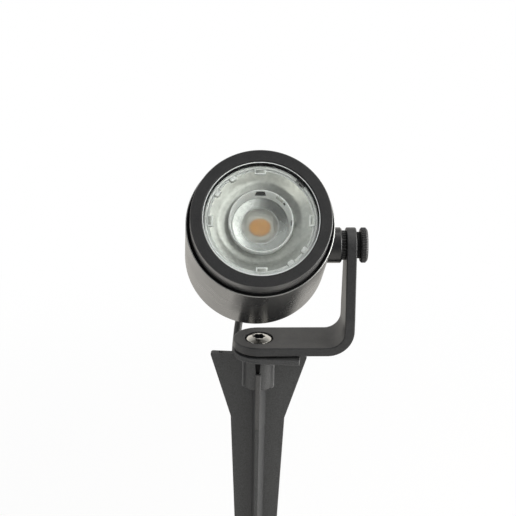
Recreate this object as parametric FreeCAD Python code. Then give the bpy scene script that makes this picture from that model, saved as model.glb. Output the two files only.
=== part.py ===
"""Garden spike spotlight: a round lamp head on a bent bracket, clamped to a ground spike.

Frame, in millimetres: Z is the spike's axis and the swivel axis, with Z = 0 at ground level, where
the spike is pushed home and the lower part of its plate is bedded in the soil. The lamp faces -Y,
tilted up, and the bracket's leg and its pivot stand on the +X side.
"""
import FreeCAD, Part
import math
import os

from FreeCAD import Placement, Rotation, Vector

os.makedirs("parts", exist_ok=True)

# ---------------------------------------------------------------- driving dimensions

# head, measured along its own axis from the tilt pivot (front is positive)
TILT = 37.0              # degrees above level at rest
PIVOT_Z = 43.3           # height of the tilt axis
HEAD_X = -1.4            # the head's axis stands a little off the spike's
FRONT = 36.9             # front face of the bezel
REAR = -15.4             # rear face of the housing
HOUSING_FRONT = 28.3     # front rim of the housing
HOUSING_R = 26.8
BEZEL_R = 25.3
APERTURE_R = 21.0
WALL = 2.8               # wall around the front chamber
REAR_STEP = 1.4          # the rear chamber is narrower by this much
FLOOR = 3.0              # thickness of the rear wall
SHELF = 10.0             # step that carries the heat spreader
O_RING_SEAT = 2.5        # depth of the rebate behind the housing's front rim
BEZEL_SHOULDER = 1.4     # how far the bezel's outside goes into that rebate
SKIRT_END = 19.0         # rear end of the bezel's threaded skirt
GLASS_R = 22.6
GLASS_T = 3.0
GLASS_FRONT = 35.9       # underside of the bezel's lip
GLASS_PROUD = 0.5        # how far the glass stands up inside the lip

# light engine
OPTIC_R = 20.3           # outer rim of the optic holder
OPTIC_FRONT = 32.4
PEG_ANGLES = (122, 146, 304, 325)   # round pegs inside the rim
CLIP_ANGLES = (0, 90, 180, 270)     # wider clips
NOTCH_ANGLE = 44
BOWL_R = 11.6            # ring between the outer and the inner reflector
BOWL_FRONT = 32.0
BOWL_LOW = 27.6          # foot of the outer bowl, at the ring
LENS_SEAT = 24.0
LENS_FLANGE_T = 1.2
LENS_DOME_R = 7.0
HOLDER_WALL = 1.3
HOLDER_LIP = 0.5         # the holder's wall thins to this at its front edge
SPREADER_T = 3.0
POST_TOP = 20.8          # top of the heat spreader's post
POST_R = 9.4
PAD_T = 0.3
LED_BOARD_T = 1.2
LED_BOARD_R = 8.9
LED_R = 3.6
LED_HALF = 4.6           # half the side of the emitter's square carrier
WIRE_Y = 6.6             # the LED's two wires pass each side of the post's middle
WIRE_R = 0.7
WIRE_HOLE_R = 1.0
BOARD_SCREW_X = 7.0
BOARD_SCREW_R = 0.8
DRIVER_BOARD_R = 19.5
DRIVER_BOARD_T = 1.6
DRIVER_POST_AT = 17.0    # radius of the circle of posts
DRIVER_POST_R = 2.2
DRIVER_SCREW_R = 0.9
PLAY = 0.05              # gap between pieces that only touch

# pivot, along +X
BOSS_R = 6.7
BOSS_END = 30.1
TOOTH_R = 5.55
TOOTH_DEPTH = 0.45
TEETH = 30
LEG_IN = 31.8
LEG_OUT = 35.55
STUD_R = 2.45
STUD_TIP = 27.0
STUD_IN_KNOB = 1.6
KNOB_IN = 36.4
KNOB_OUT = 39.8
KNOB_R = 6.63
KNURL_DEPTH = 0.28
KNURLS = 44
KNOB_WASHER_R = 5.0

# bracket
STRAP_TOP = 5.2
STRAP_T = 3.4
STRAP_R = 9.85           # half the base's width, and its round end
BEND_R = 10.0            # outer radius of the bend
LEG_TAPER = 5.0          # straight height of the leg over the bend, before it narrows
LEG_END_R = 6.65
EDGE_R = 0.45            # softened edges
RECESS_R = 5.45
RECESS_FLOOR = 4.0
SCREW_HOLE_R = 2.75
SWIVEL_WASHER_R = 8.2

# clamp screw, M5 with a six-lobe socket
SCREW_R = 2.45
SCREW_HEAD_R = 4.75
SCREW_HEAD_H = 2.25
SCREW_RIM_H = 0.9
SCREW_TIP = -12.0
SOCKET_R = 1.85
SOCKET_LOBE_R = 0.55
SOCKET_DEPTH = 1.5

# spike
PLATE_TOP = 0.75
PLATE_T = 2.1
PLATE_END = 16.0         # straight right-hand end of the plate
SPIKE_TURN = -5.7        # degrees by which the spike stands turned under the bracket
BLADE_T = 2.4
BLADE_TOP_W = 37.4
SHOULDER_Z = -28.1
SHOULDER_W = 20.9
POINT_Z = -168.0         # where the final taper starts
POINT_W = 8.4
TIP_Z = -200.0
TIP_W = 1.6
RIB_W = 4.8              # at the blade; the flanks slope to the crest
RIB_CREST_W = 1.8
RIB_REACH = 6.35         # rib's crest, from the spike's axis
RIB_STEP = 0.35          # the crest drops by this much below the step
RIB_STEP_Z = -31.0
RIB_AT_POINT = (1.5, 0.45, 3.6)     # half widths of base and crest, and reach, where the point starts
RIB_AT_TIP = (0.5, 0.25, 1.6)
SPIKE_BOSS_R = 6.0
SPIKE_BOSS_Z = -14.2
SLOT_W = 1.9             # drain slot in the front of the boss
SLOT_LOW = -7.7
INSERT_R = 3.25
INSERT_Z = -11.0

# gland on the rear wall, along the head's axis
GLAND_STEM_R = 4.15
GLAND_HOLE_R = 4.2
GLAND_NECK_R = 3.6
GLAND_NUT_R = 5.6
GLAND_HEX = 5.7          # half the hexagon's width over its chamfered corners
HEX_T = 3.2
NECK_END = REAR - 6.0
GLAND_END = -26.0        # nose of the gland

# supply lead
CORD_D = 3.1
COIL_PITCH = 3.7         # from one turn to the next, and from layer to layer
COIL_R = 18.2            # middle of the turns
COIL_TURNS = 6.625
COIL_START = -45.0       # degrees, where the lead joins the coil
COIL_Z = TIP_Z + CORD_D / 2 + 0.7
TIE_T = 0.6
TIE_W = 3.2
TIE_GAP = 0.25

# the lead from the gland to the coil; the first point is the gland's nose
LEAD_ROUTE = [
    (-1.4, 20.76, 27.65), (-1.9, 29.6, 21.0), (-4.3, 32.8, 10.2), (-7.0, 30.0, -3.0),
    (-8.3, 25.6, -18.0), (-7.3, 22.9, -38.0), (-5.4, 22.6, -80.0), (-4.7, 21.6, -124.0),
    (-4.6, 22.6, -160.0), (-4.0, 23.0, -180.6), (1.0, 26.6, -191.0), (9.6, 32.4, COIL_Z),
]
LAST_RUN = 12.0          # from the last point above to the coil

# connector, along its own axis from the lead's end
SLEEVE_END = 7.5
CONNECTOR_R = 4.9
NOSE_R = 4.3
NOSE_BORE_R = 3.4
SHOULDER_X = 17.0        # where the body narrows to its nose
PIN_BASE_X = 22.0
NOSE_END = 30.0
PIN_END = 28.0
PIN_R = 0.6
PIN_Y = 1.5
RING_START = 18.6
RING_END = 28.6
RING_R = 5.8
RING_GRIPS = 18


# ---------------------------------------------------------------- helpers

def tube_between(r_out, r_in, z0, z1):
    """Upright ring, or a disc where r_in is 0."""
    body = Part.makeCylinder(r_out, z1 - z0, Vector(0, 0, z0))
    if r_in > 0:
        body = body.cut(Part.makeCylinder(r_in, z1 - z0 + 2, Vector(0, 0, z0 - 1)))
    return body


def revolved(profile):
    """Solid of revolution about Z from (radius, height) corners."""
    points = [Vector(r, 0, z) for r, z in profile]
    face = Part.Face(Part.makePolygon(points + points[:1]))
    return face.revolve(Vector(0, 0, 0), Vector(0, 0, 1), 360)


def turned_along_x(profile):
    """Solid of revolution about X from (x, radius) corners."""
    points = [Vector(x, r, 0) for x, r in profile]
    face = Part.Face(Part.makePolygon(points + points[:1]))
    return face.revolve(Vector(0, 0, 0), Vector(1, 0, 0), 360)


def rod_x(radius, x0, x1, y=0.0, z=0.0):
    """Cylinder along X."""
    return Part.makeCylinder(radius, x1 - x0, Vector(x0, y, z), Vector(1, 0, 0))


def hole_z(radius, x, y, z0, z1):
    """Upright drill, a little longer than the wall that it goes through."""
    return Part.makeCylinder(radius, z1 - z0 + 1, Vector(x, y, z0 - 0.5))


def box(x0, x1, y0, y1, z0, z1):
    return Part.makeBox(x1 - x0, y1 - y0, z1 - z0, Vector(x0, y0, z0))


def prism(points, direction):
    """Closed outline of straight edges pushed along a direction."""
    return Part.Face(Part.makePolygon(points + points[:1])).extrude(direction)


def turned(shape, degrees):
    """Copy turned about Z."""
    copy = shape.copy()
    copy.rotate(Vector(0, 0, 0), Vector(0, 0, 1), degrees)
    return copy


def ring_of(shape, count, first=0.0):
    """Copies of a shape spaced round Z."""
    return [turned(shape, first + 360.0 * i / count) for i in range(count)]


def chamfered(shape, size, keep):
    """Chamfer on the edges that the test picks out."""
    return shape.makeChamfer(size, [edge for edge in shape.Edges if keep(edge)])


def cut_all(body, tools):
    for tool in tools:
        body = body.cut(tool)
    return body


def clean(shape):
    return shape.removeSplitter()


HEAD_PLACE = Placement(Vector(0, 0, PIVOT_Z), Rotation(Vector(1, 0, 0), 90 - TILT))


def in_head(shape, offset=HEAD_X):
    """From the head's own frame (its axis along Z, pivot at 0) to the lamp's frame."""
    moved = shape.copy()
    moved.translate(Vector(offset, 0, 0))
    moved.Placement = HEAD_PLACE.multiply(moved.Placement)
    return moved


def export(name, shape):
    shape.exportStep("parts/" + name + ".step")
    facts = (name, len(shape.Solids), shape.Volume, shape.isValid())
    print("%-18s solids %2d volume %9.1f valid %s" % facts)


# ---------------------------------------------------------------- paths of arcs and runs

def filleted_path(points):
    """Straight runs joined by tangent arcs, each 0.45 of its shorter run; returns edges and radii."""
    edges, radii = [], []
    corner_in = points[0]
    for before, corner, after in zip(points, points[1:], points[2:]):
        back, ahead = before - corner, after - corner
        reach = 0.45 * min(back.Length, ahead.Length)
        half_turn = (math.pi - back.getAngle(ahead)) / 2
        radius = reach / math.tan(half_turn)
        back.normalize()
        ahead.normalize()
        start, end = corner + back * reach, corner + ahead * reach
        inward = back + ahead
        inward.normalize()
        middle = corner + inward * (radius / math.cos(half_turn) - radius)
        edges.append(Part.LineSegment(corner_in, start).toShape())
        edges.append(Part.Arc(start, middle, end).toShape())
        radii.append(radius)
        corner_in = end
    edges.append(Part.LineSegment(corner_in, points[-1]).toShape())
    return edges, radii


def half_biarc(start, end, tangent):
    """Arc from start to end that leaves start along the tangent."""
    chord = end - start
    angle = tangent.getAngle(chord)
    side = tangent - chord * (tangent.dot(chord) / chord.dot(chord))
    side.normalize()
    middle = (start + end) * 0.5 + side * (chord.Length / 2 * math.tan(angle / 2))
    return Part.Arc(start, middle, end).toShape()


def biarc(p0, t0, p1, t1):
    """Two arcs with a shared tangent, through two points and their directions."""
    span = p1 - p0
    both = span.dot(t0 + t1)
    spread = 2 * (1 - t0.dot(t1))
    reach = (-both + math.sqrt(both * both + spread * span.dot(span))) / spread
    joint = (p0 + t0 * reach + p1 - t1 * reach) * 0.5
    middle_tangent = (p1 - t1 * reach) - (p0 + t0 * reach)
    middle_tangent.normalize()
    return [half_biarc(p0, joint, t0), half_biarc(joint, p1, middle_tangent)]


def swept_tube(edges, diameter):
    """Round tube along a path, closed at both ends; returns it with the path's length."""
    wire = Part.Wire(edges)
    first = edges[0]
    start = first.valueAt(first.FirstParameter)
    heading = first.tangentAt(first.FirstParameter)
    circle = Part.Wire(Part.Circle(start, heading, diameter / 2).toShape())
    return wire.makePipeShell([circle], True, False), wire.Length


def volume_ratio(solid, length):
    """1.0 where a tube of the lead's section follows its whole path."""
    return solid.Volume / (math.pi * CORD_D ** 2 / 4 * length)


# ---------------------------------------------------------------- lamp head

def post_circle(shape):
    """Three places round the driver board, the first one at the top."""
    return ring_of(shape.translated(Vector(DRIVER_POST_AT, 0, 0)), 3, 90)


def head_housing():
    """Turned barrel with a closed rear, a shelf for the heat spreader and a rebate for the O-ring."""
    rim_bevel, rear_bevel = 0.5, 0.7
    inner = HOUSING_R - WALL
    chamber = inner - REAR_STEP
    rebate = HOUSING_FRONT - O_RING_SEAT
    body = revolved([
        (GLAND_HOLE_R, REAR), (HOUSING_R - rear_bevel, REAR), (HOUSING_R, REAR + rear_bevel),
        (HOUSING_R, HOUSING_FRONT - rim_bevel), (HOUSING_R - rim_bevel, HOUSING_FRONT),
        (HOUSING_R - rim_bevel - 0.05, rebate), (inner, rebate), (inner, SHELF), (chamber, SHELF),
        (chamber, REAR + FLOOR), (GLAND_HOLE_R, REAR + FLOOR),
    ])
    blind_hole = Part.makeCylinder(1.0, 2.0, Vector(0, 0, REAR + FLOOR - 2.0))
    stud_hole = rod_x(STUD_R + 0.1, STUD_TIP - HEAD_X - 1.0, HOUSING_R + 2)
    return clean(cut_all(body, post_circle(blind_hole) + [stud_hole]))


def bezel_ring():
    """Screw-on front ring with a lip over the glass and a threaded skirt inside the housing."""
    face_bevel, lip_bevel = 0.3, 0.25
    skirt_r = HOUSING_R - WALL - PLAY
    bore = GLASS_R + 0.1
    shoulder = HOUSING_FRONT - BEZEL_SHOULDER
    lip = GLASS_FRONT + PLAY
    return revolved([
        (APERTURE_R, FRONT - lip_bevel), (APERTURE_R + lip_bevel, FRONT), (BEZEL_R - face_bevel, FRONT),
        (BEZEL_R, FRONT - face_bevel), (BEZEL_R, shoulder), (skirt_r, shoulder),
        (skirt_r, SKIRT_END), (bore, SKIRT_END), (bore, lip), (APERTURE_R, lip),
    ])


def front_glass():
    """Toughened disc, its bevelled face standing up inside the bezel's lip."""
    edge = APERTURE_R - 0.15
    return revolved([
        (0, GLASS_FRONT - GLASS_T), (GLASS_R, GLASS_FRONT - GLASS_T), (GLASS_R, GLASS_FRONT),
        (edge, GLASS_FRONT), (edge - GLASS_PROUD, GLASS_FRONT + GLASS_PROUD), (0, GLASS_FRONT + GLASS_PROUD),
    ])


def glass_gasket():
    """Flat rubber ring under the glass."""
    under = GLASS_FRONT - GLASS_T
    return tube_between(GLASS_R, OPTIC_R + 0.2, under - 0.9, under)


def housing_o_ring():
    """Rubber ring squeezed between the bezel's shoulder and the housing's rebate."""
    return tube_between(HOUSING_R - 0.75, HOUSING_R - WALL + PLAY, HOUSING_FRONT - O_RING_SEAT,
                        HOUSING_FRONT - BEZEL_SHOULDER)


def optic_holder():
    """Frosted outer ring of the optic, with locating pegs inside its rim and a foot on the spreader."""
    foot = SHELF + SPREADER_T + PLAY
    wall = 1.0
    inner = OPTIC_R - wall
    body = revolved([
        (inner, foot), (OPTIC_R, foot), (OPTIC_R, OPTIC_FRONT), (OPTIC_R - wall / 2, OPTIC_FRONT + 0.15),
        (inner, OPTIC_FRONT - 0.2),
    ])
    peg = box(inner - 0.9, inner + 0.3, -1.1, 1.1, OPTIC_FRONT - 1.6, OPTIC_FRONT - 0.2)
    clip = box(inner - 0.8, inner + 0.3, -1.9, 1.9, OPTIC_FRONT - 1.8, OPTIC_FRONT)
    notch = box(inner - 0.1, OPTIC_R + 0.1, -2.0, 2.0, OPTIC_FRONT - 1.2, OPTIC_FRONT + 0.5)
    tabs = [turned(peg, angle) for angle in PEG_ANGLES]
    tabs += [turned(clip, angle) for angle in CLIP_ANGLES]
    return clean(body.multiFuse(tabs).cut(turned(notch, NOTCH_ANGLE)))


def outer_reflector():
    """Wide bowl from the rim down to the lens holder, with a hub that stands on the spreader."""
    skin, hub_wall = 1.2, 1.0
    rim, hub = OPTIC_R - 1.9, BOWL_R + 0.1
    middle, middle_z = (rim + hub) / 2, BOWL_LOW + 1.4
    top = OPTIC_FRONT - 0.6
    foot = SHELF + SPREADER_T + 0.1
    return revolved([
        (hub, BOWL_LOW), (middle, middle_z), (rim, top), (rim, top - skin), (middle, middle_z - skin),
        (hub + hub_wall, BOWL_LOW - skin), (hub + hub_wall, foot), (hub, foot),
    ])


def lens_holder():
    """Inner tube that grips the lens, its wall thinning to the front, with a window and two slits."""
    inner = BOWL_R - HOLDER_WALL
    foot = SHELF + SPREADER_T + 0.1
    seat_r, seat_low = 8.1, LENS_SEAT - 0.9
    flare_z = LENS_SEAT + LENS_FLANGE_T + 1.0
    body = revolved([
        (inner, flare_z), (BOWL_R - HOLDER_LIP, BOWL_FRONT), (BOWL_R - 0.2, BOWL_FRONT),
        (BOWL_R, BOWL_FRONT - 0.2), (BOWL_R, foot), (inner, foot), (inner, seat_low),
        (seat_r, seat_low), (seat_r, LENS_SEAT), (inner, LENS_SEAT),
    ])
    window_half_top, window_half_low, window_top, window_low = 1.5, 2.1, 0.5, 4.0
    corners = [(-window_half_low, window_low), (window_half_low, window_low),
               (window_half_top, window_top), (-window_half_top, window_top)]
    window = prism([Vector(inner - 0.5, y, BOWL_FRONT - z) for y, z in corners],
                   Vector(HOLDER_WALL + 1.0, 0, 0))
    high_slit = box(inner - 0.5, BOWL_R + 0.5, -0.4, 0.4, BOWL_FRONT - 2.6, BOWL_FRONT - 1.2)
    low_slit = box(inner - 0.5, BOWL_R + 0.5, -1.0, 1.0, BOWL_FRONT - 2.4, BOWL_FRONT - 0.8)
    return clean(cut_all(body, [turned(window, 90), turned(high_slit, 41), turned(low_slit, -2)]))


def inner_cone():
    """Shallow mirror cone round the lens, lying on its flange."""
    inner, outer = LENS_DOME_R + 0.25, BOWL_R - HOLDER_WALL - PLAY
    base = LENS_SEAT + LENS_FLANGE_T + PLAY
    return revolved([(inner, base), (outer, base), (outer, base + 1.0), (outer - 0.3, base + 1.0),
                     (inner, base + 0.2)])


def collimator_lens():
    """Domed lens with a flange."""
    dome_r, dome_h = LENS_DOME_R, 1.9
    sphere_r = (dome_r ** 2 + dome_h ** 2) / (2 * dome_h)
    top = LENS_SEAT + LENS_FLANGE_T
    flange = tube_between(BOWL_R - HOLDER_WALL - PLAY, 0, LENS_SEAT, top)
    ball = Part.makeSphere(sphere_r, Vector(0, 0, top + dome_h - sphere_r))
    cap = ball.common(tube_between(dome_r, 0, top - 0.5, top + dome_h + 1))
    return clean(flange.fuse(cap))


def heat_spreader():
    """Aluminium disc on the housing's shelf, with a post that carries the LED board."""
    disc = tube_between(HOUSING_R - WALL - PLAY, 0, SHELF, SHELF + SPREADER_T)
    post = tube_between(POST_R, 0, SHELF + SPREADER_T, POST_TOP)
    wires = [hole_z(WIRE_HOLE_R, 0, y, SHELF, POST_TOP) for y in (-WIRE_Y, WIRE_Y)]
    threads = [hole_z(BOARD_SCREW_R + 0.05, x, 0, POST_TOP - 4.5, POST_TOP)
               for x in (-BOARD_SCREW_X, BOARD_SCREW_X)]
    return clean(cut_all(disc.fuse(post), wires + threads))


def led_layer(radius, z0, z1):
    """Disc on the post, with holes for the LED's wires and the board's screws."""
    wires = [hole_z(WIRE_HOLE_R, 0, y, z0, z1) for y in (-WIRE_Y, WIRE_Y)]
    screws = [hole_z(BOARD_SCREW_R + 0.05, x, 0, z0, z1) for x in (-BOARD_SCREW_X, BOARD_SCREW_X)]
    return cut_all(tube_between(radius, 0, z0, z1), wires + screws)


LED_BOARD_TOP = POST_TOP + PAD_T + LED_BOARD_T


def led_emitter():
    """Square carrier with a round phosphor patch."""
    carrier_t, phosphor_t = 0.5, 0.6
    top = LED_BOARD_TOP + carrier_t
    carrier = box(-LED_HALF, LED_HALF, -LED_HALF, LED_HALF, LED_BOARD_TOP, top)
    return carrier.fuse(tube_between(LED_R, 0, top, top + phosphor_t))


def board_screws():
    shank = Part.makeCylinder(BOARD_SCREW_R, 4.0, Vector(0, 0, LED_BOARD_TOP - 4.0))
    screw = shank.fuse(Part.makeCylinder(1.4, 0.8, Vector(0, 0, LED_BOARD_TOP)))
    return Part.makeCompound([screw.translated(Vector(x, 0, 0)) for x in (-BOARD_SCREW_X, BOARD_SCREW_X)])


def led_wires():
    """Two wires from the driver board up through the post to the LED board."""
    low, high = DRIVER_BOARD_T, LED_BOARD_TOP + 0.4
    wire = Part.makeCylinder(WIRE_R, high - low, Vector(0, 0, low))
    return Part.makeCompound([wire.translated(Vector(0, y, 0)) for y in (-WIRE_Y, WIRE_Y)])


def driver_board():
    board = tube_between(DRIVER_BOARD_R, 0, 0, DRIVER_BOARD_T)
    return cut_all(board, post_circle(hole_z(1.0, 0, 0, 0, DRIVER_BOARD_T)))


def driver_parts():
    """Choke, two capacitors, the bridge and the controller, over and under the driver board."""
    def can(radius, height, x, y):
        return tube_between(radius, 0, DRIVER_BOARD_T, DRIVER_BOARD_T + height).translated(Vector(x, y, 0))

    choke = can(4.6, 6.0, -10.5, 0)
    large = can(3.1, 7.0, 9.0, 4.5)
    small = can(2.1, 5.0, 9.0, -6.0)
    bridge = box(-9.0, -3.0, -12.5, -8.5, -2.4, 0)
    controller = box(3.5, 8.5, -3.0, 2.0, -1.5, 0)
    return Part.makeCompound([choke, large, small, bridge, controller])


def driver_posts():
    """Three hollow posts that hold the board off the rear wall."""
    return Part.makeCompound(post_circle(tube_between(DRIVER_POST_R, 1.0, REAR + FLOOR, 0)))


def driver_screws():
    shank_l, head_r, head_h = 6.0, 1.8, 1.0
    shank = Part.makeCylinder(DRIVER_SCREW_R, shank_l, Vector(0, 0, DRIVER_BOARD_T - shank_l))
    head = Part.makeCylinder(head_r, head_h, Vector(0, 0, DRIVER_BOARD_T))
    return Part.makeCompound(post_circle(shank.fuse(head)))


# ---------------------------------------------------------------- gland

def gland_body():
    """Threaded body through the rear wall, with a hexagon outside."""
    bore = CORD_D / 2 + 0.55
    hex_low, hex_corner = REAR - HEX_T, 6.4
    stem = tube_between(GLAND_STEM_R, bore, REAR - 1.0, REAR + FLOOR + 2.6)
    corners = []
    for i in range(6):
        angle = math.radians(60 * i)
        corners.append(Vector(hex_corner * math.cos(angle), hex_corner * math.sin(angle), hex_low))
    bevel = revolved([(0, hex_low), (GLAND_HEX, hex_low), (hex_corner + 0.1, hex_low + 0.5),
                      (hex_corner + 0.1, REAR), (0, REAR)])
    hexagon = prism(corners, Vector(0, 0, HEX_T)).common(bevel)
    neck = tube_between(GLAND_NECK_R, bore, NECK_END, hex_low)
    hexagon = hexagon.cut(Part.makeCylinder(bore, 10, Vector(0, 0, NECK_END)))
    return clean(stem.fuse(hexagon).fuse(neck))


def flats(half_width, z0, z1):
    """Six blocks that leave a hexagon when they are cut off a round piece."""
    return ring_of(box(half_width, half_width + 2, -4, 4, z0, z1), 6)


def gland_nut():
    """Domed nut over the seal, with flats and a rounded nose."""
    exit_r = CORD_D / 2 + 0.02
    low, neck = REAR - HEX_T - PLAY, GLAND_NECK_R + PLAY
    shell = revolved([
        (neck, low), (GLAND_NUT_R, low), (GLAND_NUT_R, REAR - 7.4), (GLAND_NUT_R - 0.7, REAR - 9.0),
        (3.4, GLAND_END + 0.4), (2.9, GLAND_END), (exit_r, GLAND_END), (exit_r, GLAND_END + 1.6),
        (3.3, REAR - 8.6), (neck, REAR - 8.0),
    ])
    return clean(cut_all(shell, flats(GLAND_NUT_R - 0.4, REAR - 7.6, REAR - 3.0)))


def gland_seal():
    """Soft sleeve that grips the lead inside the gland."""
    r_in, r_out = CORD_D / 2, 3.2
    low, high = REAR - 8.2, NECK_END - PLAY
    return revolved([(r_in, low), (r_out, low), (r_out, high), (r_in, high)])


def gland_locknut():
    """Thin nut on the stem, inside the rear wall."""
    low = REAR + FLOOR
    return cut_all(tube_between(6.2, GLAND_HOLE_R, low, low + 2.0), flats(5.4, low - 1, low + 3))


# ---------------------------------------------------------------- pivot and knob

def pivot_boss():
    """Chamfered boss on the barrel's side; the knob's stud screws into it."""
    body = rod_x(BOSS_R, HOUSING_R - 1.5 + HEAD_X, BOSS_END)
    body = body.cut(rod_x(STUD_R + 0.1, 0, 2 * BOSS_END))
    body = body.cut(Part.makeCylinder(HOUSING_R + 0.02, 60, Vector(HEAD_X, 0, -30)))
    return chamfered(body, 0.55, lambda e: abs(e.BoundBox.XMin - BOSS_END) < 1e-4 and e.BoundBox.ZLength > 10)


def toothed_disc(x0, x1, r_tip, r_root, count):
    """Short star-shaped disc along X."""
    points = []
    for i in range(2 * count):
        radius = r_tip if i % 2 == 0 else r_root
        angle = math.pi * i / count
        points.append(Vector(x0, radius * math.cos(angle), radius * math.sin(angle)))
    return prism(points, Vector(x1 - x0, 0, 0))


def serrated_washer():
    """Toothed ring that locks the head's tilt against the leg."""
    star = toothed_disc(BOSS_END, LEG_IN - PLAY, TOOTH_R, TOOTH_R - TOOTH_DEPTH, TEETH)
    return star.cut(rod_x(STUD_R + 0.1, BOSS_END - 1, LEG_IN + 1))


def knob():
    """Knurled thumb nut with bevelled rims."""
    star = toothed_disc(KNOB_IN, KNOB_OUT, KNOB_R, KNOB_R - KNURL_DEPTH, KNURLS)
    bevels = turned_along_x([
        (KNOB_IN, 0), (KNOB_IN, KNOB_R - 0.6), (KNOB_IN + 0.5, KNOB_R), (KNOB_OUT - 0.7, KNOB_R),
        (KNOB_OUT, KNOB_R - 0.8), (KNOB_OUT, 0),
    ])
    return star.common(bevels).cut(rod_x(STUD_R, KNOB_IN - 1, KNOB_IN + STUD_IN_KNOB))


def knob_stud():
    return rod_x(STUD_R, STUD_TIP, KNOB_IN + STUD_IN_KNOB)


def knob_washer():
    return rod_x(KNOB_WASHER_R, LEG_OUT + PLAY, KNOB_IN).cut(rod_x(STUD_R, LEG_IN, KNOB_OUT))


# ---------------------------------------------------------------- bracket

def bent_band():
    """The strap's thickness seen from the front: base, bend and leg, pushed through its width."""
    bottom, leg_top, left = STRAP_TOP - STRAP_T, PIVOT_Z + LEG_END_R + 1, -STRAP_R - 1
    y0 = -STRAP_R - 1
    inner_r = BEND_R - (LEG_OUT - LEG_IN)
    k = math.sqrt(0.5)
    bend_x, bend_z = LEG_OUT - BEND_R, bottom + BEND_R
    fold_x, fold_z = LEG_IN - inner_r, STRAP_TOP + inner_r

    def at(x, z):
        return Vector(x, y0, z)

    edges = [
        Part.LineSegment(at(left, bottom), at(bend_x, bottom)),
        Part.Arc(at(bend_x, bottom), at(bend_x + BEND_R * k, bend_z - BEND_R * k), at(LEG_OUT, bend_z)),
        Part.LineSegment(at(LEG_OUT, bend_z), at(LEG_OUT, leg_top)),
        Part.LineSegment(at(LEG_OUT, leg_top), at(LEG_IN, leg_top)),
        Part.LineSegment(at(LEG_IN, leg_top), at(LEG_IN, fold_z)),
        Part.Arc(at(LEG_IN, fold_z), at(fold_x + inner_r * k, fold_z - inner_r * k), at(fold_x, STRAP_TOP)),
        Part.LineSegment(at(fold_x, STRAP_TOP), at(left, STRAP_TOP)),
        Part.LineSegment(at(left, STRAP_TOP), at(left, bottom)),
    ]
    return Part.Face(Part.Wire([e.toShape() for e in edges])).extrude(Vector(0, 2 * STRAP_R + 2, 0))


def leg_outline():
    """The strap seen from the side: straight, then narrowing to a round end at the pivot."""
    floor = -5.0
    low = STRAP_TOP - STRAP_T + BEND_R + LEG_TAPER
    lean = math.atan2(STRAP_R - LEG_END_R, PIVOT_Z - low)
    touch_y, touch_z = LEG_END_R * math.cos(lean), PIVOT_Z + LEG_END_R * math.sin(lean)

    def at(y, z):
        return Vector(-STRAP_R - 2, y, z)

    corners = [at(-touch_y, touch_z), at(-STRAP_R, low), at(-STRAP_R, floor), at(STRAP_R, floor),
               at(STRAP_R, low), at(touch_y, touch_z)]
    edges = [Part.LineSegment(a, b) for a, b in zip(corners, corners[1:])]
    edges.append(Part.Arc(at(touch_y, touch_z), at(0, PIVOT_Z + LEG_END_R), at(-touch_y, touch_z)))
    return Part.Face(Part.Wire([e.toShape() for e in edges])).extrude(Vector(60, 0, 0))


def bracket_strap():
    """Flat base with a round end, a wide bend, and a leg that narrows to the pivot."""
    plan = Part.makeCylinder(STRAP_R, 80, Vector(0, 0, -5)).fuse(box(0, 45, -STRAP_R, STRAP_R, -5, 75))
    body = clean(bent_band().common(plan).common(leg_outline()))
    body = body.makeFillet(EDGE_R, [edge for edge in body.Edges if long_strap_edge(edge)])
    recess = Part.makeCylinder(RECESS_R, 5, Vector(0, 0, RECESS_FLOOR))
    screw_hole = Part.makeCylinder(SCREW_HOLE_R, 12, Vector(0, 0, -3))
    stud_hole = rod_x(STUD_R + 0.15, LEG_IN - 5, LEG_OUT + 5, 0, PIVOT_Z)
    return cut_all(body, [recess, screw_hole, stud_hole])


def long_strap_edge(edge):
    """The strap's outline edges, but not the short ones across its thickness."""
    b = edge.BoundBox
    tiny = 0.01
    across_base = STRAP_T - 0.2 < b.ZLength < STRAP_T + 1.6 and b.XLength < tiny and b.YLength < tiny
    across_bend = b.YLength > 2 * STRAP_R - 1 and b.XLength < tiny and b.ZLength < tiny
    along_leg_end = abs(b.XLength - (LEG_OUT - LEG_IN)) < tiny and b.YLength < tiny and b.ZLength < tiny
    return not (across_base or across_bend or along_leg_end)


# ---------------------------------------------------------------- clamp screw and spike

def clamp_screw():
    """M5 button head with a six-lobe socket."""
    seat = RECESS_FLOOR + 0.03
    top = seat + SCREW_HEAD_H
    dome_h = SCREW_HEAD_H - SCREW_RIM_H
    sphere_r = (SCREW_HEAD_R ** 2 + dome_h ** 2) / (2 * dome_h)
    head = Part.makeCylinder(SCREW_HEAD_R, SCREW_HEAD_H, Vector(0, 0, seat))
    head = head.common(Part.makeSphere(sphere_r, Vector(0, 0, top - sphere_r)))
    body = head.fuse(Part.makeCylinder(SCREW_R, seat - SCREW_TIP, Vector(0, 0, SCREW_TIP)))
    socket = Part.makeCylinder(SOCKET_R, 4, Vector(0, 0, top - SOCKET_DEPTH))
    lobe = Part.makeCylinder(SOCKET_LOBE_R, 4, Vector(SOCKET_R, 0, top - SOCKET_DEPTH))
    return clean(cut_all(body, [socket] + ring_of(lobe, 6, 15)))


def swivel_washer():
    """Washer that holds the bracket off the plate and lets it turn."""
    return tube_between(SWIVEL_WASHER_R, SCREW_HOLE_R, PLATE_TOP, STRAP_TOP - STRAP_T - 0.03)


def thread_insert():
    """Threaded brass bush pressed into the spike's boss."""
    return tube_between(INSERT_R, SCREW_R + PLAY, INSERT_Z, PLATE_TOP - 0.2)


def rib_section(z, half_base, half_crest, reach, side):
    """Tapered outline of a rib at one height; side is -1 for the front, +1 for the rear."""
    root = BLADE_T / 2 - 0.4
    points = [Vector(-half_base, side * root, z), Vector(-half_crest, side * reach, z),
              Vector(half_crest, side * reach, z), Vector(half_base, side * root, z)]
    return Part.makePolygon(points + points[:1])


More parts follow.
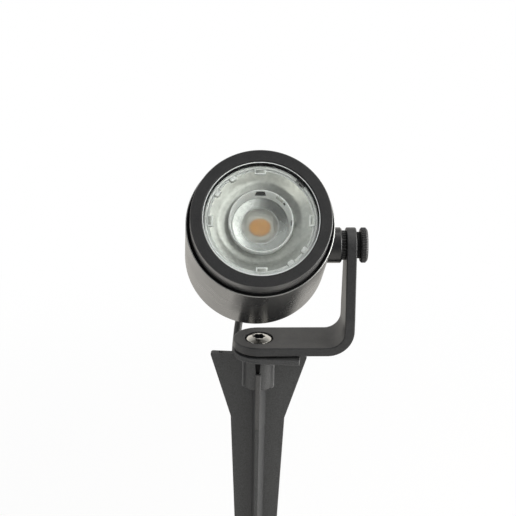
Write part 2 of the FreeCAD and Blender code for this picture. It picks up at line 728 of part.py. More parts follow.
def rib(side):
    """Rib down the blade's middle from the drain slot, with a step in its crest, fading into the point."""
    half_base, half_crest = RIB_W / 2, RIB_CREST_W / 2
    top = rib_section(SLOT_LOW, half_base, half_crest, RIB_REACH - RIB_STEP, side)
    lower = rib_section(POINT_Z, *RIB_AT_POINT, side)
    tip = rib_section(TIP_Z, *RIB_AT_TIP, side)
    main = Part.makeLoft([top, lower], True, True)
    point = Part.makeLoft([lower, tip], True, True)
    ridge = Part.makeLoft([rib_section(z, half_base, half_crest, RIB_REACH, side)
                           for z in (SLOT_LOW, RIB_STEP_Z)], True, True)
    return main.fuse(point).fuse(ridge)


def spike_blade():
    """Flat blade under the plate, drawn in at the shoulder, then a long taper to the tip."""
    half, top_z = BLADE_T / 2, PLATE_TOP - PLATE_T
    right = [(BLADE_TOP_W / 2, top_z), (SHOULDER_W / 2, SHOULDER_Z), (POINT_W / 2, POINT_Z),
             (TIP_W / 2, TIP_Z)]
    left = [(-x, z) for x, z in reversed(right)]
    blade = prism([Vector(x, -half, z) for x, z in right + left], Vector(0, BLADE_T, 0))
    corners = [e for e in blade.Edges if e.BoundBox.YLength > BLADE_T - 0.1 and e.BoundBox.ZMax > top_z - 1]
    blade = blade.makeFillet(1.0, corners)
    return chamfered(blade, 0.3, lambda e: e.BoundBox.YLength < 0.1)


def ground_spike():
    """Moulded spike: top plate, screw boss, tapering blade and its two ribs."""
    plate_low = PLATE_TOP - PLATE_T
    plate = tube_between(STRAP_R, 0, plate_low, PLATE_TOP)
    plate = clean(plate.fuse(box(0, PLATE_END, -STRAP_R, STRAP_R, plate_low, PLATE_TOP)))
    plate = chamfered(plate, 0.3, lambda e: e.BoundBox.ZLength < 0.1)
    boss = Part.makeCylinder(SPIKE_BOSS_R, plate_low - SPIKE_BOSS_Z + 0.5, Vector(0, 0, SPIKE_BOSS_Z))
    boss = boss.makeFillet(0.5, [e for e in boss.Edges if e.BoundBox.ZMax < SPIKE_BOSS_Z + 0.1])
    body = spike_blade().fuse(plate).fuse(boss).fuse(rib(-1)).fuse(rib(1))
    insert_bore = Part.makeCylinder(INSERT_R, PLATE_TOP - INSERT_Z + 2, Vector(0, 0, INSERT_Z))
    screw_bore = Part.makeCylinder(SCREW_R + 0.3, 6, Vector(0, 0, SCREW_TIP - 1))
    slot = box(-SLOT_W / 2, SLOT_W / 2, -SPIKE_BOSS_R - 1, 2 - SPIKE_BOSS_R, SLOT_LOW, plate_low - 0.1)
    return turned(clean(cut_all(body, [insert_bore, screw_bore, slot])), SPIKE_TURN)


# ---------------------------------------------------------------- lead, coil and connector

def coil_centre_and_start():
    """The coil's centre, and where the lead joins it, square to the radius there."""
    angle = math.radians(COIL_START)
    heading = Vector(-math.sin(angle), math.cos(angle), 0)
    start = Vector(*LEAD_ROUTE[-1]) + heading * LAST_RUN
    outer = COIL_R + COIL_PITCH * COIL_TURNS / 4
    centre = start + heading * CORD_D - Vector(math.cos(angle), math.sin(angle), 0) * outer
    return centre, start, heading


def coil_point(turn, centre):
    """A point of the coil and its direction: it spirals in, climbs a layer, and spirals out."""
    half = COIL_TURNS / 2
    away = abs(turn - half)
    radius = COIL_R - COIL_PITCH * COIL_TURNS / 4 + COIL_PITCH * away
    rate = COIL_PITCH / (2 * math.pi) * (1 if turn > half else -1)
    if away < 0.02:
        rate = 0.0
    rise = min(max((turn - half + 0.25) / 0.5, 0), 1)
    climb = 6 * rise * (1 - rise) * COIL_PITCH / math.pi
    height = COIL_Z + COIL_PITCH * rise * rise * (3 - 2 * rise)
    angle = math.radians(COIL_START) + 2 * math.pi * turn
    radial = Vector(math.cos(angle), math.sin(angle), 0)
    along = Vector(-math.sin(angle), math.cos(angle), 0)
    tangent = along * radius + radial * rate + Vector(0, 0, climb)
    tangent.normalize()
    return Vector(centre.x, centre.y, 0) + radial * radius + Vector(0, 0, height), tangent


def least_gap(centre):
    """Smallest clear distance between two turns, on points along the coil."""
    per_turn = 120
    points = [coil_point(i / per_turn, centre)[0] for i in range(int(COIL_TURNS * per_turn))]
    least = 1e9
    for i in range(0, len(points), 2):
        for other in points[i + per_turn // 3:]:
            least = min(least, points[i].distanceToPoint(other))
    return least - CORD_D


def lead_coil():
    """The put-away length, wound in two layers as one tube; also its end, heading and length."""
    centre, start, heading = coil_centre_and_start()
    steps = int(COIL_TURNS * 8)
    stations = [coil_point(COIL_TURNS * i / steps, centre) for i in range(steps + 1)]
    last_angle = math.radians(COIL_START) + 2 * math.pi * COIL_TURNS
    leaving = Vector(-math.sin(last_angle), math.cos(last_angle), 0)
    first_point, last_point = stations[0][0], stations[-1][0]
    stations[0] = (first_point, heading)
    stations[-1] = (last_point, leaving)
    end = last_point + leaving * CORD_D
    edges = [Part.LineSegment(start, first_point).toShape()]
    for (p0, t0), (p1, t1) in zip(stations, stations[1:]):
        edges += biarc(p0, t0, p1, t1)
    edges.append(Part.LineSegment(last_point, end).toShape())
    solid, length = swept_tube(edges, CORD_D)
    print("coil length %.1f, volume over section x length %.4f, least gap %.2f" % (
        length, volume_ratio(solid, length), least_gap(centre)))
    return solid, end, leaving, length


def supply_lead(coil_start):
    """The lead from the gland's nose down behind the spike to the coil, and its length."""
    edges, radii = filleted_path([Vector(*p) for p in LEAD_ROUTE] + [coil_start])
    solid, length = swept_tube(edges, CORD_D)
    print("lead length %.1f, volume over section x length %.4f" % (length, volume_ratio(solid, length)))
    print("lead radii", ", ".join("%.1f" % r for r in radii))
    return solid, length


def lead_tie(centre):
    """Flat band round all the turns, on the coil's far side, with its buckle on top."""
    reach = COIL_PITCH * COIL_TURNS / 4 + CORD_D / 2 + TIE_GAP
    r0, r1 = COIL_R - reach, COIL_R + reach
    low, high = COIL_Z - CORD_D / 2 - PLAY, COIL_Z + COIL_PITCH + CORD_D / 2 + TIE_GAP
    half_w, buckle, buckle_h = TIE_W / 2, 2.2, 1.4
    band = box(-half_w, half_w, r0 - TIE_T, r1 + TIE_T, low - TIE_T, high + TIE_T)
    band = band.cut(box(-TIE_W, TIE_W, r0, r1, low, high))
    top = high + TIE_T
    band = band.fuse(box(-buckle, buckle, COIL_R - buckle, COIL_R + buckle, top, top + buckle_h))
    return clean(band.translated(Vector(centre.x, centre.y, 0)))


def connector_sleeve():
    """Ribbed strain relief on the lead's end."""
    inner = CORD_D / 2 - 1.5
    sleeve = turned_along_x([(0, inner), (0, 2.3), (SLEEVE_END, 3.2), (SLEEVE_END, inner)])
    grooves = [rod_x(4, x, x + 0.7).cut(rod_x(1.9, x - 1, x + 2)) for x in (1.6, 3.4, 5.2)]
    return cut_all(sleeve, grooves)


def connector_body():
    """Two-pin plug body with an open nose."""
    body = turned_along_x([
        (SLEEVE_END, 0), (SLEEVE_END, CONNECTOR_R - 0.7), (SLEEVE_END + 0.8, CONNECTOR_R),
        (SHOULDER_X, CONNECTOR_R), (SHOULDER_X, NOSE_R), (NOSE_END, NOSE_R), (NOSE_END, NOSE_BORE_R),
        (PIN_BASE_X, NOSE_BORE_R), (PIN_BASE_X, 0),
    ])
    return cut_all(body, [rod_x(PIN_R + PLAY, SHOULDER_X + 1, PIN_BASE_X + 1, y) for y in (-PIN_Y, PIN_Y)])


def connector_seal():
    return rod_x(4.75, SHOULDER_X + 0.1, SHOULDER_X + 1.4).cut(rod_x(NOSE_R, SHOULDER_X - 1, SHOULDER_X + 3))


def connector_pins():
    return Part.makeCompound([rod_x(PIN_R, SHOULDER_X + 1.2, PIN_END, y) for y in (-PIN_Y, PIN_Y)])


def connector_ring():
    """Coupling ring on the nose, with finger grooves."""
    ring = rod_x(RING_R, RING_START, RING_END).cut(rod_x(NOSE_R + 0.1, RING_START - 1, RING_END + 1))
    groove_at, groove_r = RING_R + 0.15, 0.45
    grooves = []
    for i in range(RING_GRIPS):
        angle = 2 * math.pi * i / RING_GRIPS
        grooves.append(rod_x(groove_r, RING_START - 1, RING_END + 1, groove_at * math.cos(angle),
                             groove_at * math.sin(angle)))
    return cut_all(ring, grooves)


def on_lead_end(shape, origin, heading):
    """A piece made along +X from the origin, put on the lead's end."""
    moved = shape.copy()
    moved.Placement = Placement(origin, Rotation(Vector(1, 0, 0), heading)).multiply(moved.Placement)
    return moved


# ---------------------------------------------------------------- build

def build_head():
    pad_top = POST_TOP + PAD_T
    pieces = {
        "head_housing": head_housing(),
        "bezel_ring": bezel_ring(),
        "front_glass": front_glass(),
        "glass_gasket": glass_gasket(),
        "housing_o_ring": housing_o_ring(),
        "optic_holder": optic_holder(),
        "outer_reflector": outer_reflector(),
        "lens_holder": lens_holder(),
        "inner_cone": inner_cone(),
        "collimator_lens": collimator_lens(),
        "led_emitter": led_emitter(),
        "led_board": led_layer(LED_BOARD_R, pad_top, LED_BOARD_TOP),
        "thermal_pad": led_layer(LED_BOARD_R - 0.1, POST_TOP, pad_top),
        "board_screws": board_screws(),
        "heat_spreader": heat_spreader(),
        "led_wires": led_wires(),
        "driver_board": driver_board(),
        "driver_parts": driver_parts(),
        "driver_posts": driver_posts(),
        "driver_screws": driver_screws(),
        "gland_body": gland_body(),
        "gland_nut": gland_nut(),
        "gland_seal": gland_seal(),
        "gland_locknut": gland_locknut(),
    }
    for name, shape in pieces.items():
        export(name, in_head(shape))


def build_pivot():
    """Pieces on the tilt axis, already at their true X."""
    pieces = {
        "pivot_boss": pivot_boss(),
        "serrated_washer": serrated_washer(),
        "knob": knob(),
        "knob_stud": knob_stud(),
        "knob_washer": knob_washer(),
    }
    for name, shape in pieces.items():
        export(name, in_head(shape, 0.0))


def build_base():
    export("bracket_strap", bracket_strap())
    export("clamp_screw", clamp_screw())
    export("swivel_washer", swivel_washer())
    export("thread_insert", thread_insert())
    export("ground_spike", ground_spike())


def build_lead():
    centre, coil_start = coil_centre_and_start()[:2]
    lead, lead_length = supply_lead(coil_start)
    coil, coil_end, leaving, coil_length = lead_coil()
    export("supply_lead", lead)
    export("lead_coil", coil)
    export("lead_tie", lead_tie(centre))
    pieces = {
        "connector_sleeve": connector_sleeve(),
        "connector_body": connector_body(),
        "connector_seal": connector_seal(),
        "connector_pins": connector_pins(),
        "connector_ring": connector_ring(),
    }
    for name, shape in pieces.items():
        export(name, on_lead_end(shape, coil_end, leaving))
    print("cord length in all %.1f" % (lead_length + coil_length))
    print("coil centre %.2f %.2f, from %s to %s" % (centre.x, centre.y, coil_start, coil_end))


build_head()
build_pivot()
build_base()
build_lead()
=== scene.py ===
# Garden spike spotlight: the finish of every piece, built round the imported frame.
import math
import bmesh
import bpy
import numpy as np
from mathutils import Matrix, Vector


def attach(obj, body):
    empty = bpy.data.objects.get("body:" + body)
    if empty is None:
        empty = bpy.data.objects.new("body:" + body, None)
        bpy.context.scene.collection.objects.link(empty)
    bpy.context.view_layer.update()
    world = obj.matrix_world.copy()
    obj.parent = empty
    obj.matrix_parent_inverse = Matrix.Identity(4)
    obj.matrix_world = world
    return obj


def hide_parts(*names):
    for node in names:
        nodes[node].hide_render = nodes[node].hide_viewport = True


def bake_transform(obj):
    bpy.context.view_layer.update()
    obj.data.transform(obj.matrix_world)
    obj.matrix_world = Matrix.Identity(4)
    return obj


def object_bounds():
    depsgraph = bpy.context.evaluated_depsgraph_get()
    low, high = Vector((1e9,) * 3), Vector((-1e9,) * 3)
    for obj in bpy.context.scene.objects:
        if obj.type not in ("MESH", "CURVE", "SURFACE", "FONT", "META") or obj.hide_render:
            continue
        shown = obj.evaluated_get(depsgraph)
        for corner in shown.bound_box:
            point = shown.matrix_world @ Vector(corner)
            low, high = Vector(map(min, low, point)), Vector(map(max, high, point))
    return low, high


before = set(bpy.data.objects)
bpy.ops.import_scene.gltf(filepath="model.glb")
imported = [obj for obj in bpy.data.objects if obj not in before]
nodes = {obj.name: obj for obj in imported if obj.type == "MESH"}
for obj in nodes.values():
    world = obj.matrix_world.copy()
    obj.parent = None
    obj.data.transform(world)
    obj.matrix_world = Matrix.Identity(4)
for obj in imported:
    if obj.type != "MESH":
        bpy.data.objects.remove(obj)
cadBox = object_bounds()
mm = 0.001  # settings are in millimetres, meshes in metres
micrometre = 0.000001

# camera, floor and light

view = dict(azimuth=2.85, elevation=22.35, roll=1.02, distance=650.0, target=(-0.93, 0.0, 38.11),
            focalPixels=1736.5, picture=516.0, sensor=36.0, clip=(0.01, 20.0))


def addCamera(view):
    # looks along the view direction from its distance; roll turns the right and up axes about that direction
    azimuth, elevation = math.radians(view["azimuth"]), math.radians(view["elevation"])
    roll = math.radians(view["roll"])
    ahead = Vector((math.sin(azimuth) * math.cos(elevation), math.cos(azimuth) * math.cos(elevation),
                    -math.sin(elevation)))
    right = Vector((math.cos(azimuth), -math.sin(azimuth), 0.0))
    up = right.cross(ahead)
    rolledRight = right * math.cos(roll) + up * math.sin(roll)
    rolledUp = up * math.cos(roll) - right * math.sin(roll)
    data = bpy.data.cameras.new("camera")
    data.sensor_width = view["sensor"]
    data.lens = view["sensor"] * view["focalPixels"] / view["picture"]
    data.clip_start, data.clip_end = view["clip"]
    camera = bpy.data.objects.new("camera", data)
    place = Matrix((rolledRight, rolledUp, -ahead)).transposed().to_4x4()
    place.translation = (Vector(view["target"]) - ahead * view["distance"]) * mm
    camera.matrix_world = place
    bpy.context.scene.collection.objects.link(camera)
    bpy.context.scene.camera = camera


studio = dict(
    floorGap=0.2, floorSize=6.0, floorColor=(0.85, 0.845, 0.83, 1.0), floorRoughness=0.9,
    shownColor=(1.0, 1.0, 1.0, 1.0), shadowShare=0.14, shadowReach=(0.60, 0.28),
    worldColor=(0.95, 0.97, 1.0, 1.0), worldLight=0.38,
    inFront=(0.20, 0.20, 0.205, 1.0), overhead=(0.46, 0.46, 0.45, 1.0), behind=(1.0, 0.97, 0.92, 1.0),
    nearFloor=(1.0, 0.965, 0.90, 1.0), farFloor=(0.46, 0.45, 0.42, 1.0),
    insideLeft=(1.20, 1.20, 1.19, 1.0), insideRight=(2.50, 2.48, 2.40, 1.0), insideAbove=(0.75, 0.75, 0.74, 1.0),
    insideFloor=(1.0, 0.975, 0.92, 1.0), floorReach=(-0.8, -0.25),
    worldRamps=dict(overhead=("Y", -0.5, 0.1), behind=("Y", 0.05, 0.6), lowDown=("Z", 0.75, 0.3),
                    insideRight=("X", -0.3, 0.6), insideAbove=("Z", 0.5, 0.95)),
    cards=[
        dict(toward=(-0.35, -0.83, 0.44), start=0.80, full=0.97, color=(0.03, 0.032, 0.034, 1.0)),
        dict(toward=(0.67, -0.12, 0.73), start=0.87, full=0.985, color=(3.6, 3.57, 3.48, 1.0)),
        dict(toward=(-0.64, -0.76, 0.02), start=0.91, full=0.985, color=(2.5, 2.44, 2.3, 1.0)),
    ],
    lamps=[
        dict(name="keySoftbox", at=(0.74, -0.19, 0.57), size=1.1, light=0.80, color=(1.0, 0.985, 0.96)),
        dict(name="leftSoftbox", at=(-0.90, -0.33, 0.45), size=0.6, light=0.14, color=(0.97, 0.985, 1.0)),
        dict(name="topSoftbox", at=(-0.10, 0.15, 1.00), size=0.5, light=0.12, color=(1.0, 1.0, 1.0)),
        dict(name="rightSoftbox", at=(1.0, -0.11, 0.0), size=0.9, light=1.12, color=(1.0, 0.99, 0.97)),
    ],
)


def addNode(tree, kind, values, **settings):
    # another node's output is linked to the socket, a plain number or colour is set on it
    node = tree.nodes.new("ShaderNode" + kind)
    for label, value in settings.items():
        setattr(node, label, value)
    for label, value in values.items():
        feed(tree, value, node.inputs[label])
    return node


def feed(tree, value, socket):
    if isinstance(value, bpy.types.NodeSocket):
        tree.links.new(value, socket)
    else:
        socket.default_value = value


def mathNode(tree, operation, *values):
    return addNode(tree, "Math", dict(enumerate(values)), operation=operation).outputs[0]


def ramp(tree, value, low, high):
    # 0 below low, 1 above high, smooth between; low may be the larger one
    return addNode(tree, "MapRange", {"Value": value, "From Min": low, "From Max": high},
                   interpolation_type="SMOOTHSTEP").outputs["Result"]


def mixedColor(tree, share, first, second):
    return addNode(tree, "Mix", {"Factor": share, "A": first, "B": second}, data_type="RGBA").outputs["Result"]


def mixedShader(tree, share, first, second):
    return addNode(tree, "MixShader", {"Fac": share, 1: first, 2: second}).outputs[0]


def plainLight(tree, color):
    return addNode(tree, "Emission", {"Color": color}).outputs[0]


def splitVector(tree, vector):
    return addNode(tree, "SeparateXYZ", {0: vector}).outputs


def newMaterial(name, values):
    material = bpy.data.materials.new(name)
    material.use_nodes = True
    tree = material.node_tree
    shader = tree.nodes["Principled BSDF"]
    for label, value in values.items():
        shader.inputs[label].default_value = value
    return material, tree, shader, addNode(tree, "TexCoord", {}).outputs["Object"]


def shownAsBackdrop(tree, lit, target, shown, mirrored, inside, share):
    # camera rays see the plain pale backdrop with a share of the lit surface, mirror rays see the studio,
    # and rays that come through glass see the studio that lights the optic
    path = addNode(tree, "LightPath", {}).outputs
    seen = lit
    for flag, color in (("Is Glossy Ray", mirrored), ("Is Transmission Ray", inside)):
        seen = mixedShader(tree, path[flag], seen, plainLight(tree, color))
    kept = mixedShader(tree, share, plainLight(tree, shown), lit)
    tree.links.new(mixedShader(tree, path["Is Camera Ray"], seen, kept), target)


def addWorld(studio):
    # in mirrors the studio is dim in front, half light overhead and white behind, low down;
    # through glass it is light, lightest on the right, with one dark and two bright cards
    world = bpy.data.worlds.new("studio")
    world.use_nodes = True
    bpy.context.scene.world = world
    tree = world.node_tree
    background = tree.nodes["Background"]
    background.inputs["Color"].default_value = studio["worldColor"]
    background.inputs["Strength"].default_value = studio["worldLight"]
    direction = addNode(tree, "TexCoord", {}).outputs["Generated"]
    split = splitVector(tree, direction)
    edges = {key: ramp(tree, split[axis], *reach) for key, (axis, *reach) in studio["worldRamps"].items()}
    sky = mixedColor(tree, edges["overhead"], studio["inFront"], studio["overhead"])
    sky = mixedColor(tree, mathNode(tree, "MULTIPLY", edges["behind"], edges["lowDown"]), sky, studio["behind"])
    inside = mixedColor(tree, edges["insideRight"], studio["insideLeft"], studio["insideRight"])
    inside = mixedColor(tree, edges["insideAbove"], inside, studio["insideAbove"])
    for card in studio["cards"]:
        toward = addNode(tree, "VectorMath", {0: direction, 1: card["toward"]}, operation="DOT_PRODUCT")
        share = ramp(tree, toward.outputs["Value"], card["start"], card["full"])
        inside = mixedColor(tree, share, inside, card["color"])
    shownAsBackdrop(tree, background.outputs[0], tree.nodes["World Output"].inputs["Surface"],
                    studio["shownColor"], sky, inside, 0.0)


def addFloor(studio):
    material, tree, shader, spot = newMaterial("paleFloor", {"Base Color": studio["floorColor"],
                                                             "Roughness": studio["floorRoughness"]})
    distance = addNode(tree, "VectorMath", {0: spot}, operation="LENGTH").outputs["Value"]
    share = mathNode(tree, "MULTIPLY", ramp(tree, distance, *studio["shadowReach"]), studio["shadowShare"])
    mirrored = mixedColor(tree, ramp(tree, splitVector(tree, spot)["Y"], *studio["floorReach"]),
                          studio["farFloor"], studio["nearFloor"])
    shownAsBackdrop(tree, shader.outputs[0], tree.nodes["Material Output"].inputs["Surface"],
                    studio["shownColor"], mirrored, studio["insideFloor"], share)
    half = studio["floorSize"] / 2
    level = cadBox[0].z - studio["floorGap"] * mm
    mesh = bpy.data.meshes.new("floor")
    mesh.from_pydata([(-half, -half, level), (half, -half, level), (half, half, level), (-half, half, level)],
                     [], [(0, 1, 2, 3)])
    mesh.materials.append(material)
    floor = bpy.data.objects.new("floor", mesh)
    bpy.context.scene.collection.objects.link(floor)


def addLamps(studio):
    # light is the value that a white surface facing the lamp shows: power = pi area light / sin^2 of its half angle
    for lamp in studio["lamps"]:
        place = Vector(lamp["at"])
        half = lamp["size"] / 2
        spread = half ** 2 / (place.length_squared + half ** 2)
        data = bpy.data.lights.new(lamp["name"], "AREA")
        data.shape, data.size, data.color = "DISK", lamp["size"], lamp["color"]
        data.energy = math.pi * math.pi * half ** 2 * lamp["light"] / spread
        light = bpy.data.objects.new(lamp["name"], data)
        light.location = place
        light.rotation_euler = (-place).to_track_quat("-Z", "Y").to_euler()
        light.visible_transmission = False  # the optic is lit by the studio seen through the glass
        bpy.context.scene.collection.objects.link(light)


addCamera(view)
bpy.context.scene.view_settings.view_transform = "Standard"
addWorld(studio)
addFloor(studio)
addLamps(studio)
print("camera and studio ready")

# shared surface effects, as shader node groups


def makeGroup(name, inputs, build):
    # an input is a number, a colour, or None for a vector; build adds the nodes and names the outputs
    group = bpy.data.node_groups.new(name, "ShaderNodeTree")
    for label, value in inputs.items():
        kind = "Vector" if value is None else "Float" if isinstance(value, float) else "Color"
        socket = group.interface.new_socket(label, in_out="INPUT", socket_type="NodeSocket" + kind)
        if value is not None:
            socket.default_value = value
    given, out = group.nodes.new("NodeGroupInput"), group.nodes.new("NodeGroupOutput")
    for label, result in build(group, given.outputs).items():
        kind = dict(VALUE="Float", VECTOR="Vector", RGBA="Color")[result.type]
        group.interface.new_socket(label, in_out="OUTPUT", socket_type="NodeSocket" + kind)
        group.links.new(result, out.inputs[label])
    return group


def noiseNode(tree, vector, scale, detail=2.0, distortion=0.0):
    return addNode(tree, "TexNoise", {"Vector": vector, "Scale": scale, "Detail": detail,
                                      "Distortion": distortion}).outputs["Fac"]


def bumpNode(tree, height, depth, **normal):
    return addNode(tree, "Bump", {"Strength": 1.0, "Distance": depth, "Height": height, **normal}).outputs[0]


def buildGrain(group, given):
    # fine grain as a bump, over slow smudges that raise and lower the roughness by up to twice the smudge
    grain = noiseNode(group, given["Vector"], given["Grain Scale"], 3.0)
    smudge = noiseNode(group, given["Vector"], given["Smudge Scale"], 4.0, 0.6)
    swing = mathNode(group, "MULTIPLY", mathNode(group, "SUBTRACT", smudge, 0.5), given["Smudge"])
    roughness = mathNode(group, "ADD", given["Roughness"], mathNode(group, "MULTIPLY", swing, 4.0))
    return dict(Roughness=roughness, Grain=grain, Normal=bumpNode(group, grain, given["Grain Depth"]))


def buildDust(group, given):
    # a thin veil of dust over the colour where the surface faces up: 3 amount up noise^1.6, with a little all round
    up = splitVector(group, addNode(group, "NewGeometry", {}).outputs["Normal"])["Z"]
    patches = noiseNode(group, given["Vector"], given["Scale"], 6.0, 0.3)
    broken = mathNode(group, "MULTIPLY", mathNode(group, "MAXIMUM", up, 0.12),
                      mathNode(group, "POWER", patches, 1.6))
    mask = mathNode(group, "MULTIPLY", mathNode(group, "MULTIPLY", broken, 3.0), given["Amount"])
    return dict(Color=mixedColor(group, mask, given["Color"], given["Dust Color"]), Mask=mask)


def buildTurned(group, given):
    # lathe marks: noise that changes only with the distance along and from the turning axis, local Z
    split = splitVector(group, given["Vector"])
    square = mathNode(group, "ADD", mathNode(group, "MULTIPLY", split["X"], split["X"]),
                      mathNode(group, "MULTIPLY", split["Y"], split["Y"]))
    join = addNode(group, "CombineXYZ", {"X": mathNode(group, "SQRT", square), "Z": split["Z"]})
    lines = noiseNode(group, join.outputs[0], given["Scale"], 2.0)
    return dict(Lines=lines, Normal=bumpNode(group, lines, given["Depth"], Normal=given["Normal"]))


groups = dict(
    grain=makeGroup("fineGrain", {"Vector": None, "Grain Scale": 2500.0, "Grain Depth": 0.00002,
                                  "Smudge Scale": 60.0, "Roughness": 0.4, "Smudge": 0.06}, buildGrain),
    dust=makeGroup("settledDust", {"Vector": None, "Color": (0.05, 0.05, 0.05, 1.0), "Amount": 0.05,
                                   "Dust Color": (0.42, 0.40, 0.36, 1.0), "Scale": 220.0}, buildDust),
    turned=makeGroup("turnedLines", {"Vector": None, "Scale": 4000.0, "Depth": 0.000004, "Normal": None},
                     buildTurned),
)

# finishes

headPose = dict(tilt=37.0, pivotZ=43.3, headX=-1.4)

# colour, swing of its tone, roughness, smudge, grain lines per metre, grain depth in micrometres, then what only
# some have: turned (lines per metre, depth in micrometres), dust, specular, metallic, subsurface, tones
finishes = {
    "barrelBlack": ((0.018, 0.018, 0.0185), 0.25, 0.28, 0.03, 2600, 2.2,
                    dict(turned=(3800, 2.5), dust=0.02, specular=0.62)),
    # pale metal for the housing's front bevel: painted highlight
    "barrelEdgeHighlight": ((0.32, 0.325, 0.32), 0.12, 0.34, 0.02, 2600, 2, dict(metallic=0.7)),
    "bezelBlack": ((0.018, 0.0183, 0.0192), 0.35, 0.55, 0.02, 2900, 16, dict(dust=0.02, specular=0.3)),
    "bezelSatin": ((0.05, 0.05, 0.05), 0.2, 0.34, 0.02, 2900, 4, dict(specular=0.6)),
    "powderBlack": ((0.025, 0.0255, 0.027), 0.3, 0.45, 0.03, 2400, 10, dict(dust=0.04)),
    "knobBlack": ((0.015, 0.015, 0.0165), 0.3, 0.42, 0.03, 2400, 6, dict(dust=0.02)),
    "pivotBlack": ((0.012, 0.0122, 0.0132), 0.25, 0.3, 0.03, 2400, 4, dict(dust=0.02, specular=0.6)),
    "spikePlastic": ((0.047, 0.048, 0.049), 0.3, 0.5, 0.035, 2200, 14, dict(dust=0.03)),
    "spikeSmooth": ((0.066, 0.065, 0.064), 0.15, 0.42, 0.03, 1500, 4, dict(dust=0.03)),
    # paler plastic for the boss's foot: painted highlight
    "spikeFootHighlight": ((0.105, 0.106, 0.108), 0.15, 0.4, 0.03, 1500, 4, dict(dust=0.03)),
    # black of the rubber parts, and of the blocks that stand as painted shade in the slot, socket and openings
    "sealRubber": ((0.007, 0.007, 0.0075), 0.2, 0.72, 0.04, 1800, 8, dict(specular=0.25)),
    "frostedOptic": ((0.915, 0.94, 0.92), 0.08, 0.34, 0.03, 1500, 6, dict(subsurface=0.25)),
    "pegWhite": ((0.95, 0.97, 0.955), 0.04, 0.3, 0.03, 1500, 4, dict(subsurface=0.1)),
    "groundGlass": ((0.91, 0.94, 0.92), 0.06, 0.42, 0.03, 2600, 6, dict()),
    "satinReflector": ((0.43, 0.44, 0.415), 0.12, 0.33, 0.04, 700, 4, dict(turned=(1500, 6), metallic=0.85)),
    "mirrorCone": ((0.46, 0.475, 0.46), 0.1, 0.26, 0.03, 700, 2, dict(turned=(1800, 3), metallic=0.9)),
    "circuitBoard": ((0.86, 0.865, 0.81), 0.1, 0.42, 0.03, 900, 4, dict()),
    "driverGreen": ((0.03, 0.13, 0.06), 0.3, 0.36, 0.03, 900, 4, dict(dust=0.02)),
    "plainAluminium": ((0.62, 0.62, 0.63), 0.08, 0.3, 0.04, 1500, 3, dict(turned=(3000, 3), metallic=1.0)),
    "stainless": ((0.6, 0.585, 0.545), 0.12, 0.2, 0.06, 900, 6, dict(dust=0.01, metallic=1.0)),
    "brass": ((0.66, 0.47, 0.18), 0.12, 0.28, 0.05, 1500, 3, dict(metallic=1.0)),
    "platedPins": ((0.72, 0.7, 0.66), 0.08, 0.18, 0.04, 1500, 2, dict(metallic=1.0)),
    "glandNylon": ((0.02, 0.02, 0.021), 0.25, 0.46, 0.03, 1900, 8, dict(dust=0.03)),
    "cordJacket": ((0.032, 0.031, 0.03), 0.3, 0.42, 0.05, 1400, 10, dict(dust=0.04)),
    "connectorPlastic": ((0.026, 0.026, 0.028), 0.25, 0.44, 0.03, 1900, 10, dict(dust=0.03)),
    "softWhite": ((0.66, 0.66, 0.66), 0.1, 0.6, 0.03, 1200, 5, dict(dust=0.02)),
    "tieBand": ((0.02, 0.02, 0.021), 0.25, 0.55, 0.03, 1500, 10, dict(dust=0.03)),
    "ledPhosphor": ((0.98, 0.44, 0.05), 0, 0.5, 0.03, 2600, 30,
                    dict(tones=((0.35, (0.96, 0.36, 0.030)), (0.65, (1.0, 0.52, 0.07))))),
}


def placeGroup(tree, key, values):
    return addNode(tree, "Group", values, node_tree=groups[key]).outputs


def headCoordinates(tree, source):
    # turns object coordinates into the head's own frame, with its axis along Z
    return addNode(tree, "Mapping", {
        "Vector": source, "Location": (headPose["headX"] * mm, 0.0, headPose["pivotZ"] * mm),
        "Rotation": (math.radians(90.0 - headPose["tilt"]), 0.0, 0.0)}, vector_type="TEXTURE").outputs["Vector"]


def addGrain(tree, shader, spot, roughness, smudge, scale, depth):
    # the grain group drives the roughness; its other outputs are handed back
    grain = placeGroup(tree, "grain", {"Vector": spot, "Grain Scale": scale, "Grain Depth": depth * micrometre,
                                       "Roughness": roughness, "Smudge": smudge})
    tree.links.new(grain["Roughness"], shader.inputs["Roughness"])
    return grain["Grain"], grain["Normal"]


def makeFinish(name, color, swing, roughness, smudge, scale, depth, special):
    material, tree, shader, spot = newMaterial(name, {"Metallic": special.get("metallic", 0.0),
                                                      "Specular IOR Level": special.get("specular", 0.5)})
    if "subsurface" in special:
        shader.inputs["Subsurface Weight"].default_value = special["subsurface"]
        shader.inputs["Subsurface Radius"].default_value = (mm, mm, mm)
    grain, normal = addGrain(tree, shader, spot, roughness, smudge, scale, depth)
    base, ramps = np.array(color), addNode(tree, "ValToRGB", {"Fac": grain})
    tones = special.get("tones", ((0.3, base * (1 - swing)), (0.7, base * (1 + swing))))
    for stop, (position, tone) in zip(ramps.color_ramp.elements, tones):
        stop.position, stop.color = position, (*np.clip(tone, 0, 1), 1.0)
    shown = ramps.outputs["Color"]
    if "dust" in special:
        shown = placeGroup(tree, "dust", {"Vector": spot, "Color": shown, "Amount": special["dust"]})["Color"]
    if "turned" in special:
        lines, lineDepth = special["turned"]
        normal = placeGroup(tree, "turned", {"Vector": headCoordinates(tree, spot), "Scale": lines,
                                             "Depth": lineDepth * micrometre, "Normal": normal})["Normal"]
    tree.links.new(shown, shader.inputs["Base Color"])
    tree.links.new(normal, shader.inputs["Normal"])
    return material


glassSmear = dict(smudge=0.004, scale=120.0, depth=0.0)


def makeGlass(name, tint, roughness, ior, clear):
    material, tree, shader, spot = newMaterial(name, {"Base Color": tint, "Transmission Weight": clear,
                                                      "Metallic": 0.0, "IOR": ior})
    addGrain(tree, shader, spot, roughness, **glassSmear)
    return material


